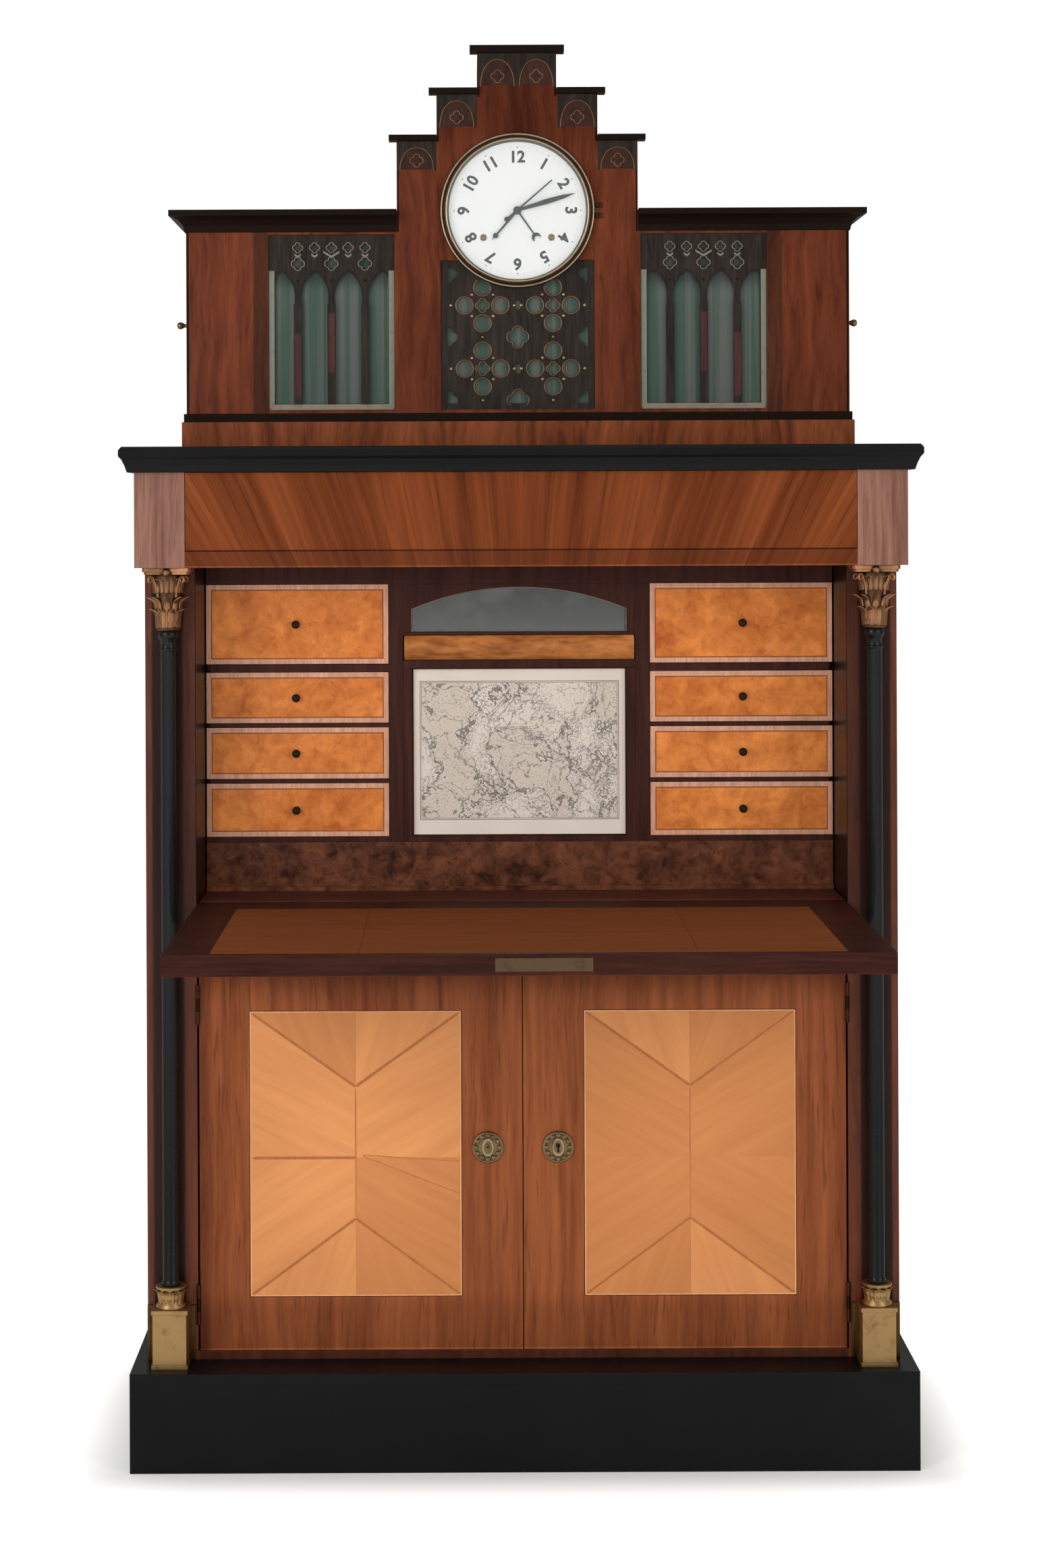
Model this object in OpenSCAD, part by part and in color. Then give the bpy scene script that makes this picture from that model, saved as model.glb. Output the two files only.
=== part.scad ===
// Fall-front writing cabinet with a stepped clock case on top.
// The origin is the middle of the underside of the plinth; the front faces -Y and +Z is up.

/* [Plinth] */
// How far the plinth stands out at each side of the carcass
plinth_side = 19; // [10:1:34]
// Depth of the plinth
plinth_d = 525; // [515:5:560]
// Height of the plinth
plinth_h = 147; // [120:1:180]
// Thickness of the plinth boards
plinth_board = 22; // [16:1:30]
// How far the plinth stands in front of the carcass
plinth_step = 75; // [70:1:90]

/* [Carcass] */
// Clear width between the front posts
opening_w = 980; // [900:5:1060]
// Width of a front post
post_w = 76; // [70:1:84]
// Thickness of the outer side boards
side_t = 26; // [18:1:30]
// Depth of the front posts
post_t = 29; // [24:1:34]
// Thickness of a post's face board
post_face_t = 4; // [3:0.5:4.5]
// Thickness of the inner linings
lining_t = 10; // [8:1:14]
// Thickness of the back panel
back_t = 12; // [8:1:16]
// Thickness of the cupboard floor
floor_t = 13; // [10:1:20]
// Height of the cupboard opening
cupboard_h = 592; // [500:5:640]
// Height of the rail between cupboard and fall
middle_rail_h = 51.5; // [45:0.5:60]
// Thickness of the dust boards
dust_t = 12; // [8:1:16]
// Thickness of the cupboard shelf
shelf_t = 18; // [14:1:24]
// Height of the shelf above the cupboard floor
shelf_rise = 288; // [200:5:360]
// Set-back of the shelf from the carcass front
shelf_setback = 38; // [30:1:80]

/* [Columns] */
// Distance of a column axis in front of the carcass
column_step = 30; // [30:1:34]
// Radius of a column shaft
shaft_r = 12; // [9:0.5:14]
// Radius of the ring under a capital
collar_r = 15; // [14:0.5:18]
// Width of the square block under a column
block_w = 54; // [50:1:60]
// Height of the square block
block_h = 88; // [70:1:110]
// Height of the flared neck on the block
neck_h = 33; // [24:1:40]
// Height of a capital
capital_h = 94; // [80:1:110]
// Width of a capital's top slab
abacus_w = 76; // [70:1:76]
// Thickness of a capital's top slab
abacus_t = 10; // [8:1:14]
// Thickness of the gilt plates on the posts
mount_t = 5; // [3:0.5:5]
// Height of the gilt plate at the foot of a post
mount_foot_h = 83; // [70:1:100]

/* [Doors] */
// Thickness of a door
door_t = 24; // [20:1:28]
// Width of the door stile at the meeting edge
door_meeting_w = 91; // [86:1:110]
// Width of the door stile at the hinges
door_hinge_w = 75; // [60:1:90]
// Height of the door rails
door_rail_h = 80; // [60:1:100]
// Thickness of a door panel
door_panel_t = 14; // [10:1:18]
// Distance of a keyhole plate from the meeting edge
escutcheon_x = 53; // [40:1:60]
// Radius of a keyhole plate
escutcheon_r = 24; // [18:1:28]
// Thickness of a keyhole plate
escutcheon_t = 2.5; // [1.5:0.5:4]

/* [Fall front] */
// Thickness of the fall
fall_t = 29; // [26:1:32]
// Width of the plain border at each side of the writing surface
fall_border = 64; // [40:1:80]
// Depth of the plain border before the writing surface
fall_front_border = 12; // [8:1:40]
// Depth of the plain border behind the writing surface
fall_rear_border = 73; // [20:1:90]
// Depth of the inlaid writing surface
inlay_t = 1.5; // [1:0.5:3]
// Length of the stop levers hidden in the sides, from the pivot
lever_l = 230; // [200:5:250]
// Width of a stop lever
lever_w = 14; // [12:1:16]
// Thickness of a stop lever
lever_t = 8; // [6:0.5:10]
// Distance of a stop lever from the inner face of the side
lever_in = 18; // [14:1:20]
// Width of the lock plate on the front edge
lock_w = 130; // [100:5:150]
// Height of the lock plate
lock_h = 18; // [14:1:20]
// Offset of the lock from the middle
lock_x = 20; // [0:1:40]

/* [Nest of drawers] */
// Height of the space above the writing deck
niche_h = 507; // [504:1:540]
// Set-back of the nest from the carcass front
nest_setback = 150; // [130:5:180]
// Play between the nest and a side
nest_play = 1.5; // [1:0.5:6]
// Height of the nest floor above the deck
nest_rise = 84; // [70:1:84]
// Inner and outer distance of the upright boards from the middle
upright_x0 = 181; // [170:1:185]
// Width of an upright
upright_w = 22; // [14:1:28]
// Height of the lower small drawers
low_row_h = 83; // [76:1:84]
// Height of the third row of drawers
third_row_h = 79; // [70:1:82]
// Height of the top row of drawers
top_row_h = 124; // [110:1:126]
// Gap that the dividers fill between the three lower rows
row_gap = 7; // [6:0.5:8]
// Gap under the top row
top_gap = 13; // [10:1:15]
// Thickness of a drawer front
drawer_front_t = 18; // [12:1:22]
// Thickness of a drawer side
drawer_side_t = 6; // [5:0.5:10]
// Length of a small drawer box behind its front
drawer_len = 245; // [200:5:255]
// Radius of a drawer knob
knob_r = 6; // [5:0.5:9]
// How far a knob stands out
knob_l = 13; // [10:1:18]
// Height of the centre drawer
centre_drawer_h = 38; // [30:1:40]
// Bulge of the centre drawer front
centre_bulge = 9; // [4:1:12]
// Height of the map panel
print_h = 262; // [230:1:262]
// Half width of the mirror and of the map panel
mirror_hw = 167; // [150:1:170]
// Rise of the mirror's arch
mirror_rise = 34; // [20:1:40]
// Distance from the mirror's crown to the top of the drawers
mirror_crown = 5; // [4:1:12]

/* [Frieze] */
// How far the frieze stands out at each side of the carcass
frieze_side = 9; // [6:1:14]
// Height of the frieze
frieze_h = 142; // [130:1:170]
// How far the frieze stands in front of the carcass
frieze_step = 58; // [56:1:66]
// Height of the rail under the frieze drawer
frieze_rail_h = 24; // [20:1:30]
// Height of the black cornice
cornice_h = 38; // [28:1:48]
// Overhang of the cornice beyond the frieze
cornice_out = 21; // [14:1:28]
// Thickness of the frieze boards
frieze_board = 26; // [18:1:30]
// Length of the frieze drawer box
frieze_drawer_len = 393; // [300:5:400]

/* [Clock case] */
// Width of the wings
wings_w = 1034; // [1000:2:1060]
// Depth of the clock case
case_d = 280; // [260:5:285]
// Height of the base moulding
base_h = 44; // [34:1:54]
// Overhang of the base moulding
base_out = 7; // [4:1:12]
// Height of the dark band over the base
band_h = 13; // [8:1:18]
// Height of the wings over the band
wing_h = 283; // [260:1:300]
// Height of the wing cornice
wing_cornice_h = 33; // [24:1:40]
// Overhang of the wing cornice
wing_cornice_out = 25; // [16:1:32]
// Width of the tower
tower_w = 376; // [370:2:400]
// Height of the tower's lowest stage over the band
tower_h = 424; // [424:1:450]
// Width of the second stage
stage2_w = 251; // [220:1:270]
// Height of the second stage
stage2_h = 64; // [50:1:80]
// Width of the third stage
stage3_w = 123; // [100:1:150]
// Height of the third stage
stage3_h = 55; // [40:1:70]
// Thickness of the caps on the stages
cap_t = 9; // [6:0.5:12]
// Overhang of the caps
cap_out = 12; // [6:1:18]
// How far back from the face the caps stand out at the sides
cap_return = 14; // [10:1:30]
// Thickness of the case boards
case_t = 18; // [15:1:20]
// Distance from the tower to a window
window_gap = 4; // [3:1:6]
// Width of a wing window
window_w = 197; // [180:1:205]
// Width of the narrow pilaster beside a window
strip_w = 25; // [15:1:30]
// Half width of the opening in the tower
tower_opening_hw = 120; // [116:1:124]
// Distance from the dial's middle down to the opening in the tower
opening_drop = 77; // [70:1:90]
// Height of the sill under the windows and under the opening
sill_h = 5; // [4:1:12]
// Height of the head over the windows
head_h = 4; // [3:1:10]
// Number of lancets in a wing window
lancets = 4; // [3:1:5]
// Distance between the bars of a wing window
lancet_pitch = 52.5; // [46:0.5:55]
// Width of a tracery bar
tracery_bar = 10; // [7:0.5:12]
// Thickness of a tracery panel
tracery_t = 6; // [4:0.5:7]
// Height of the straight part of a lancet
lancet_h = 178; // [160:1:190]
// Height over the springing at which the pierced head of a wing window starts
head_rise = 26; // [22:1:32]
// Height of the row of larger piercings over the springing
large_hole_rise = 51; // [47:1:54]
// Radius of the larger piercings
large_hole_r = 10; // [7:0.5:11]
// Height of the row of smaller piercings over the springing
small_hole_rise = 76; // [72:1:80]
// Radius of the smaller piercings
small_hole_r = 7.5; // [5:0.5:9]
// Distance between the two columns of pierced flowers under the dial
foil_pitch_x = 110; // [100:1:116]
// Distance between the rows of flowers
foil_pitch_z = 99; // [92:1:110]
// Height of the lowest full row over the sill
foil_row_rise = 64; // [50:1:80]
// Distance of a flower's petals from its middle
petal_at = 28; // [26:1:31]
// Radius of a petal
petal_r = 13; // [9:0.5:14]

/* [Clock] */
// Height of the dial centre over the band
dial_rise = 315; // [305:1:320]
// Radius of the dial
dial_r = 107; // [100:1:110]
// Outer radius of the bezel
bezel_r = 121; // [116:1:122]
// Thickness of the dial
dial_t = 3; // [2:0.5:4]
// Thickness of the dial glass
glass_t = 2; // [1.5:0.5:3]
// Length of the hour hand
hour_l = 62; // [50:1:66]
// Length of the minute hand
minute_l = 94; // [85:1:97]
// Length of the date hand
date_l = 57; // [45:1:65]
// Length of the seconds hand
seconds_l = 71; // [60:1:80]
// Thickness of a hand
hand_t = 1; // [0.8:0.1:1.2]
// Distance between the hands along their axis
hand_pitch = 2; // [1.8:0.1:2.4]
// Room added between the dial and the lowest hand
hand_gap = 0.4; // [0.2:0.1:0.8]
// Gap between the seconds hand and the dial glass
glass_play = 0.7; // [0.5:0.1:1.5]
// Distance of the bell behind the front plate of the movement
bell_back = 35; // [30:1:40]
// Height of a side door's knob over the foot of its wing
knob_rise = 142; // [130:1:150]
// Radius of the innermost arbor
arbor_r = 0.9; // [0.8:0.1:1.2]
// Wall of each pipe on the arbor
pipe_t = 0.9; // [0.8:0.1:1.1]
// Radial play between the arbors
pipe_play = 0.1; // [0.05:0.01:0.1]
// Length of the pendulum from pin to bob
pendulum_l = 250; // [220:5:265]
// Radius of the pendulum bob
bob_r = 30; // [22:1:34]

/* [Clearances] */
// Seam between glued boards of one piece
seam = 0.1; // [0.05:0.01:0.15]
// Gap round a drawer or a door
run_gap = 0.5; // [0.4:0.1:0.8]
// Gap between a swinging piece and its stop
swing_gap = 2; // [1:0.5:3]
// Radial play of a hinge pin
pin_play = 0.1; // [0.05:0.01:0.1]

/* [Hidden] */
$fn = 48;
eps = 0.01;
tiny = 0.05;

// Heights
z_door = plinth_h + floor_t;
z_middle = z_door + cupboard_h;
z_fall = z_middle + middle_rail_h + run_gap;
z_deck = z_fall + fall_t;
z_frieze = z_deck + niche_h;
z_cornice = z_frieze + frieze_h;
z_case = z_cornice + cornice_h;
z_band = z_case + base_h;
z_wing = z_band + band_h;
z_wing_top = z_wing + wing_h;
z_tower_top = z_wing + tower_h;
z_stage2_top = z_tower_top + cap_t + stage2_h;
z_stage3_top = z_stage2_top + cap_t + stage3_h;
z_dial = z_wing + dial_rise;
z_sill = z_wing + sill_h;
z_head = z_wing_top - head_h;
z_opening_top = z_dial - opening_drop;

// Depths
y_plinth = -plinth_d / 2;
y_back = plinth_d / 2;
y_front = y_plinth + plinth_step;
y_inner_back = y_back - back_t;
y_post_back = y_front + post_t;
y_frieze = y_front - frieze_step;
y_column = y_front - column_step;
y_nest = y_front + nest_setback;
y_nest_back = y_inner_back - 1;
case_back_gap = 20;
y_case_back = y_back - case_back_gap;
y_case = y_case_back - case_d;

// Widths from the middle
x_open = opening_w / 2;
x_side = x_open + post_w;
x_plinth = x_side + plinth_side;
x_nest = x_open - nest_play;
x_column = (x_side + x_open) / 2;
x_wing = wings_w / 2;
x_tower = tower_w / 2;
x_window = x_tower + window_gap;
x_strip = x_window + window_w;

// Fall front: the pivot lies in the middle of the half-round rear edge
x_fall = x_open - 1;
fall_r = fall_t / 2;
y_pivot = y_front + fall_r;
z_pivot = z_fall + fall_r;
fall_reach = z_frieze - swing_gap - z_pivot;
y_fall = y_pivot - fall_reach;
x_inlay = x_fall - fall_border;
y_inlay0 = y_fall + fall_front_border;
y_inlay1 = y_pivot - fall_rear_border;
pivot_r = 4;
pivot_in = 14;
x_lever = x_open + lever_in;
lever_hub_r = 9;
slot_play = 1;

// Doors
x_door = x_open - 3;
x_meet = run_gap + 0.25;
z_door0 = z_door + run_gap;
z_door1 = z_middle - run_gap;
hinge_r = 3.2;
hinge_pin_r = 1.5;
hinge_l = 60;
x_hinge = x_open - 1;
y_hinge = y_front - hinge_r - seam;
leaf_t = 1.2;
leaf_w = 18;
hinge_heights = [z_door0 + 70, z_door1 - 70];

// Nest: heights of the rows of drawers, from the lowest
z_nest = z_deck + nest_rise;
nest_board = 9;
row_h = [low_row_h, low_row_h - 3, third_row_h, top_row_h];
row_z = [for (i = 0, z = z_nest; i < 4;
         z = z + row_h[i] + (i < 2 ? row_gap : top_gap), i = i + 1) z];
z_rows_top = row_z[3] + row_h[3];
x_drawer0 = upright_x0 + upright_w + 1;
x_drawer1 = x_nest - run_gap;
x_knob = (x_drawer0 + x_drawer1) / 2 + 2;
nest_side_t = 6;
z_print_top = z_nest + print_h;
shelf_board = 13;
z_centre_drawer = z_print_top + shelf_board;
thin_board = 4;
z_mirror = z_centre_drawer + centre_drawer_h + 2 * run_gap + thin_board;
z_mirror_top = z_rows_top - mirror_crown;

// Frieze
x_frieze = x_side + frieze_side;
x_corner = x_open + 10;
z_frieze_drawer = z_frieze + frieze_rail_h;

// Clock
hinge_side_r = 2.5;
y_dial = y_case - dial_t;
y_hands = y_dial - hand_gap;
bezel_h = y_case - seam - y_hands + hand_pitch * 4 + glass_play + glass_t;
pipe_r = [for (i = [0 : 3]) arbor_r + i * (pipe_t + pipe_play)];
dial_bore = pipe_r[3] + pipe_play + 0.4;
seat_t = 12;
z_seat = z_dial - 80;
plate_hw = 88;
plate_t = 3;
barrel_r = 30;
y_plate = y_case + case_t + 4;
plate_gap = 62;
y_plate2 = y_plate + plate_t + plate_gap;
y_seat1 = y_plate2 + plate_t + 4;
z_plate_top = z_dial + 74;
winding_x = 53;
winding_z = z_dial - 42;
z_pendulum = z_dial + 46;
pendulum_pin_r = 1.5;
y_pendulum = y_seat1 + 9;
bezel_hinge_x = bezel_r + 3;
glass_r = dial_r + 3;
y_bezel_hinge = y_case - 3;
side_door_y0 = y_case + 42;
side_door_y1 = y_case_back - 30;
side_door_z0 = z_wing + 24;
side_door_z1 = z_wing_top - 20;
x_side_hinge = x_wing + hinge_side_r + seam;
y_side_hinge = side_door_y1 + 1.5;

// A box from three [low, high] pairs
module block(x, y, z) {
    translate([x[0], y[0], z[0]]) cube([x[1] - x[0], y[1] - y[0], z[1] - z[0]]);
}

// Repeats a right-hand piece on the left as well
module both_sides() {
    children();
    mirror([1, 0, 0]) children();
}

// A slab with moulded front and side edges: profile holds [overhang, height] pairs
module moulded_slab(hw, y0, y1, z0, profile) {
    last = len(profile) - 1;
    front = [for (p = profile) [y0 - p[0], z0 + p[1]]];
    right = [for (p = profile) [hw + p[0], z0 + p[1]]];
    left = [for (i = [last : -1 : 0]) [-hw - profile[i][0], z0 + profile[i][1]]];
    reach = hw + 100;
    intersection() {
        translate([-reach, 0, 0]) rotate([90, 0, 90])
            linear_extrude(2 * reach)
                polygon(concat(front, [[y1, z0 + profile[last][1]], [y1, z0]]));
        translate([0, y1, 0]) rotate([90, 0, 0])
            linear_extrude(y1 - y0 + 100) polygon(concat(right, left));
    }
}

// A cylinder along Y from y0 to y1
module rod_y(x, z, r, y0, y1) {
    translate([x, y1, z]) rotate([90, 0, 0]) cylinder(r = r, h = y1 - y0);
}

// A cylinder along X from x0 to x1
module rod_x(y, z, r, x0, x1) {
    translate([x0, y, z]) rotate([0, 90, 0]) cylinder(r = r, h = x1 - x0);
}

// A keyhole along Y: a round hole with a slot below it
module keyhole(x, z, r, y0, y1) {
    rod_y(x, z, r, y0, y1);
    block([x - r / 2, x + r / 2], [y0, y1], [z - 3 * r, z]);
}

// Base of four boards with a top and a cross bearer
module plinth() {
    top_t = 18;
    z_top = plinth_h - top_t;
    hw = x_plinth;
    y_in0 = y_plinth + plinth_board + seam;
    y_in1 = y_back - plinth_board - seam;
    color("#1c1c1a") {
        block([-hw, hw], [y_plinth, y_in0 - seam], [0, z_top]);
        block([-hw, hw], [y_in1 + seam, y_back], [0, z_top]);
        both_sides() block([hw - plinth_board, hw], [y_in0, y_in1], [0, z_top]);
        block([-plinth_board, plinth_board], [y_in0, y_in1], [0, z_top]);
        block([-hw, hw], [y_plinth, y_back], [z_top + seam, plinth_h]);
    }
}

module cupboard_floor() {
    color("#5a2f1c") block([-x_side, x_side], [y_front, y_back], [plinth_h, z_door]);
}

// One side of the carcass: front post with a slot for the stop lever, outer board and lining
module carcass_side() {
    y_face = y_front + post_face_t;
    y_in = [y_face + seam, y_post_back - seam];
    x0 = x_lever - slot_play;
    x1 = x_lever + lever_t + slot_play;
    color("#5a2418") {
        block([x_open, x_side], [y_front, y_face], [z_door, z_frieze]);
        difference() {
            block([x_open, x0], y_in, [z_door, z_frieze]);
            rod_x(y_pivot, z_pivot, pivot_r + pin_play, x_open - 1, x0 + 1);
        }
        block([x1, x_side], y_in, [z_door, z_frieze]);
        block([x0 + seam, x1 - seam], y_in, [z_door, z_pivot - lever_l - 4]);
        block([x0 + seam, x1 - seam], y_in, [z_pivot + lever_hub_r + 5, z_frieze]);
        block([x_side - side_t, x_side], [y_post_back, y_back], [z_door, z_frieze]);
        block([x_open, x_open + lining_t], [y_post_back, y_inner_back - seam],
              [z_door, z_frieze]);
    }
}

module right_side() {
    carcass_side();
}

module left_side() {
    mirror([1, 0, 0]) carcass_side();
}

module back_panel() {
    hw = x_side - side_t - seam;
    color("#7a4a2a") block([-hw, hw], [y_inner_back, y_back], [z_door, z_cornice]);
}

// Rail over the doors, the dust board behind it and two bearers for the deck
module middle_rail() {
    rail_t = 25;
    bearer_x = x_open - 50;
    bearer_w = 30;
    y0 = y_front + rail_t + seam;
    z1 = z_middle + middle_rail_h;
    color("#5a2418") {
        block([-x_open, x_open], [y_front, y0 - seam], [z_middle, z1]);
        block([-x_open, x_open], [y0, y_inner_back], [z_middle, z_middle + dust_t]);
        both_sides()
            block([bearer_x, bearer_x + bearer_w], [y0, y_inner_back],
                  [z_middle + dust_t + seam, z_fall]);
    }
}

// Fixed writing deck behind the fall
module writing_deck() {
    color("#6b3a22")
        block([-x_nest, x_nest], [y_pivot + fall_r + run_gap, y_inner_back],
              [z_fall, z_deck]);
}

module cupboard_shelf() {
    z0 = z_door + shelf_rise;
    cleat = 16;
    y0 = y_front + shelf_setback;
    color("#8a5a34") {
        block([-x_open, x_open], [y0, y_inner_back], [z0, z0 + shelf_t]);
        both_sides()
            block([x_open - cleat, x_open], [y0, y_inner_back], [z0 - cleat, z0 - seam]);
    }
}

// Corner blocks of the frieze with its sides and the guides of the long drawer
module frieze_ends() {
    guide_t = 10;
    color("#7a3a20") both_sides() {
        block([x_corner, x_frieze], [y_frieze, y_post_back - seam], [z_frieze, z_cornice]);
        block([x_frieze - frieze_board, x_frieze], [y_post_back, y_back],
              [z_frieze, z_cornice]);
        block([x_corner, x_corner + guide_t], [y_post_back, y_inner_back],
              [z_frieze, z_cornice]);
    }
}

module frieze_rail() {
    color("#6e321c")
        block([-x_corner, x_corner], [y_frieze, y_inner_back], [z_frieze, z_frieze_drawer]);
}

module cornice() {
    h = cornice_h;
    o = cornice_out;
    profile = [[o * 0.45, 0], [o * 0.6, h * 0.26], [o * 0.8, h * 0.5], [o, h * 0.62],
               [o, h * 0.86], [o * 0.8, h]];
    color("#161616") moulded_slab(x_frieze, y_frieze, y_back, z_cornice, profile);
}

// Turned columns with a foot, a thin ring and a collar
module columns() {
    z0 = plinth_h + block_h + neck_h;
    z1 = z_frieze - capital_h;
    ring_z = z1 - 28;
    r = shaft_r;
    color("#141414") both_sides() translate([x_column, y_column, 0])
        rotate_extrude()
            polygon([[0, z0], [r + 2, z0], [r + 2, z0 + 4], [r, z0 + 8], [r, ring_z - 2],
                     [r + 1.5, ring_z], [r, ring_z + 2], [r, z1 - 14],
                     [collar_r, z1 - 11], [collar_r, z1 - 3], [r + 1, z1], [0, z1]]);
}

// Gilt capitals: a flared bell with corner leaves under a square slab
module capitals() {
    z0 = z_frieze - capital_h;
    z1 = z_frieze - abacus_t;
    depth = column_step + block_w / 2;
    top_w = abacus_w - 4;
    color("#b08a3c") both_sides() {
        translate([x_column, y_column, 0]) rotate_extrude()
            polygon([[0, z0], [16, z0], [21, z0 + 5], [18, z0 + 12], [19, z0 + 34],
                     [22, z0 + 56], [24.5, z1 - seam], [0, z1 - seam]]);
        for (side = [-1, 1]) for (side_y = [-1, 1])
            translate([x_column + side * 23, y_column + side_y * 11, z0 + 26])
                rotate([0, side * 11, 0]) block([-5, 5], [-7, 7], [0, z1 - z0 - 30]);
        block([x_column - top_w / 2, x_column + top_w / 2],
              [y_front - depth + 1, y_front], [z1, z_frieze]);
    }
}

// Gilt blocks with a flared neck that carry the columns
module column_bases() {
    z1 = plinth_h + block_h;
    y1 = y_front - mount_t;
    y0 = 2 * y_column - y1;
    neck_r = y1 - y_column - 0.2;
    waist = 16.5;
    color("#b8923f") both_sides() {
        block([x_column - block_w / 2, x_column + block_w / 2], [y0, y1], [plinth_h, z1]);
        translate([x_column, y_column, z1 + seam]) rotate_extrude()
            polygon([[0, 0], [22, 0], [22, 4], [waist, 9], [waist, 14],
                     [neck_r, neck_h - 5], [neck_r, neck_h - seam], [0, neck_h - seam]]);
    }
}

// Thin gilt plates at the foot and head of each post
module pilaster_mounts() {
    x0 = x_open + 4;
    color("#b8923f") both_sides() {
        block([x0, x_side], [y_front - mount_t, y_front], [plinth_h, plinth_h + mount_foot_h]);
    }
}

// Fixed halves of the hinges and the blocks that the stop levers meet
module carcass_fittings() {
    third = hinge_l / 3;
    stop_y = y_pivot + lever_l - 25;
    stop_z = z_pivot + lever_w / 2 + 0.5;
    color("#a5853f") {
        both_sides() for (z = hinge_heights) {
            translate([x_hinge, y_hinge, z - hinge_l / 2]) {
                cylinder(r = hinge_r, h = third - 0.2);
                translate([0, 0, 2 * third + 0.2]) cylinder(r = hinge_r, h = third - 0.2);
                cylinder(r = hinge_pin_r, h = hinge_l);
                for (s = [0, 2 * third + 0.2])
                    translate([-0.3, 0, s]) cube([leaf_t, leaf_w, third - 0.2]);
                translate([-0.3, hinge_r + 0.3, 0]) cube([leaf_t, leaf_w - hinge_r, hinge_l]);
            }
        }
        both_sides()
            block([x_lever, x_side - side_t - seam], [stop_y, stop_y + 20], [stop_z, stop_z + 20]);
        translate([bezel_hinge_x, y_bezel_hinge, z_dial]) {
            for (s = [-1, 1]) translate([0, 0, s * 8 - 4 + s * 0.2])
                cylinder(r = hinge_side_r, h = 8);
            translate([0, 0, -12]) cylinder(r = 1, h = 24);
            for (s = [-1, 1]) translate([0, 1, s * 8 - 4 + s * 0.2]) cube([9, 2, 8]);
        }
        both_sides() for (z = [side_door_z0 + 40, side_door_z1 - 40])
            translate([x_side_hinge, y_side_hinge, z]) {
                for (s = [-1, 1]) translate([0, 0, s * 12 - 6 + s * 0.2])
                    cylinder(r = hinge_side_r, h = 12);
                translate([0, 0, -18]) cylinder(r = 1, h = 36);
                for (s = [-1, 1]) translate([-hinge_side_r, 0.5, s * 12 - 6 + s * 0.2])
                    cube([1, 12, 12]);
            }
    }
}

// Frame of the right-hand door: two stiles and two rails
module door_frame() {
    y1 = y_front + door_t;
    xs = x_meet + door_meeting_w;
    xh = x_door - door_hinge_w;
    z_lock = (z_door0 + z_door1) / 2 + 9;
    color("#7a3e22") {
        difference() {
            block([x_meet, xs], [y_front, y1], [z_door0, z_door1]);
            keyhole(escutcheon_x, z_lock, 3, y_front - 1, y1 + 1);
        }
        block([xh, x_door], [y_front, y1], [z_door0, z_door1]);
        for (z = [z_door0, z_door1 - door_rail_h])
            block([xs + seam, xh - seam], [y_front, y1], [z, z + door_rail_h]);
    }
}

module door_panel() {
    x0 = x_meet + door_meeting_w + seam;
    x1 = x_door - door_hinge_w - seam;
    color("#d9924e")
        block([x0, x1], [y_front + 0.4, y_front + 0.4 + door_panel_t],
              [z_door0 + door_rail_h + seam, z_door1 - door_rail_h - seam]);
}

// Keyhole plate and moving halves of the hinges on the right-hand door
module door_fittings() {
    third = hinge_l / 3;
    z_lock = (z_door0 + z_door1) / 2 + 9;
    color("#a5853f") {
        difference() {
            rod_y(escutcheon_x, z_lock, escutcheon_r, y_front - escutcheon_t, y_front);
            keyhole(escutcheon_x, z_lock, 3, y_front - escutcheon_t - 1, y_front + 1);
        }
        for (z = hinge_heights) difference() {
            translate([x_hinge, y_hinge, z - hinge_l / 2]) {
                translate([0, 0, third + 0.1]) cylinder(r = hinge_r, h = third - 0.2);
                translate([-1.9, 0, third + 0.1]) cube([leaf_t, leaf_w, third - 0.2]);
                translate([-1.9, hinge_r + 0.3, 0]) cube([leaf_t, leaf_w - hinge_r, hinge_l]);
            }
            translate([x_hinge, y_hinge, z - hinge_l / 2 - 1])
                cylinder(r = hinge_pin_r + pin_play, h = hinge_l + 2);
        }
    }
}

// Iron lock case behind the right-hand door
module lock_case() {
    z_lock = (z_door0 + z_door1) / 2 + 9;
    y1 = y_front + door_t;
    color("#5c5a56")
        difference() {
            block([x_meet + 6, x_meet + 76], [y1, y1 + 12], [z_lock - 32, z_lock + 28]);
            keyhole(escutcheon_x, z_lock, 3, y1 - 1, y1 + 13);
        }
}

module right_door() {
    door_frame();
}

module left_door() {
    mirror([1, 0, 0]) door_frame();
}

module right_door_panel() {
    door_panel();
}

module left_door_panel() {
    mirror([1, 0, 0]) door_panel();
}

module right_door_fittings() {
    door_fittings();
    lock_case();
}

module left_door_fittings() {
    mirror([1, 0, 0]) door_fittings();
}

// Fall front, shown open: a board with a half-round rear edge
module fall_board() {
    color("#4a2018") difference() {
        union() {
            block([-x_fall, x_fall], [y_fall, y_pivot], [z_fall, z_deck]);
            rod_x(y_pivot, z_pivot, fall_r, -x_fall, x_fall);
        }
        block([-x_inlay, x_inlay], [y_inlay0, y_inlay1], [z_deck - inlay_t, z_deck + 1]);
        block([lock_x - 46, lock_x + 46], [y_fall - 1, y_fall + 61],
              [z_pivot - 8, z_pivot + 8]);
        block([lock_x - lock_w / 2 - tiny, lock_x + lock_w / 2 + tiny],
              [y_fall - 1, y_fall + 1.5], [z_pivot - lock_h / 2 - tiny, z_pivot + lock_h / 2 + tiny]);
        both_sides()
            rod_x(y_pivot, z_pivot, pivot_r + tiny, x_fall - pivot_in, x_fall + 1);
    }
}

// Veneered writing surface let into the fall
module writing_surface() {
    x1 = x_inlay - tiny;
    color("#8a4c2a")
        block([-x1, x1], [y_inlay0 + tiny, y_inlay1 - tiny], [z_deck - inlay_t + tiny, z_deck]);
}

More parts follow.
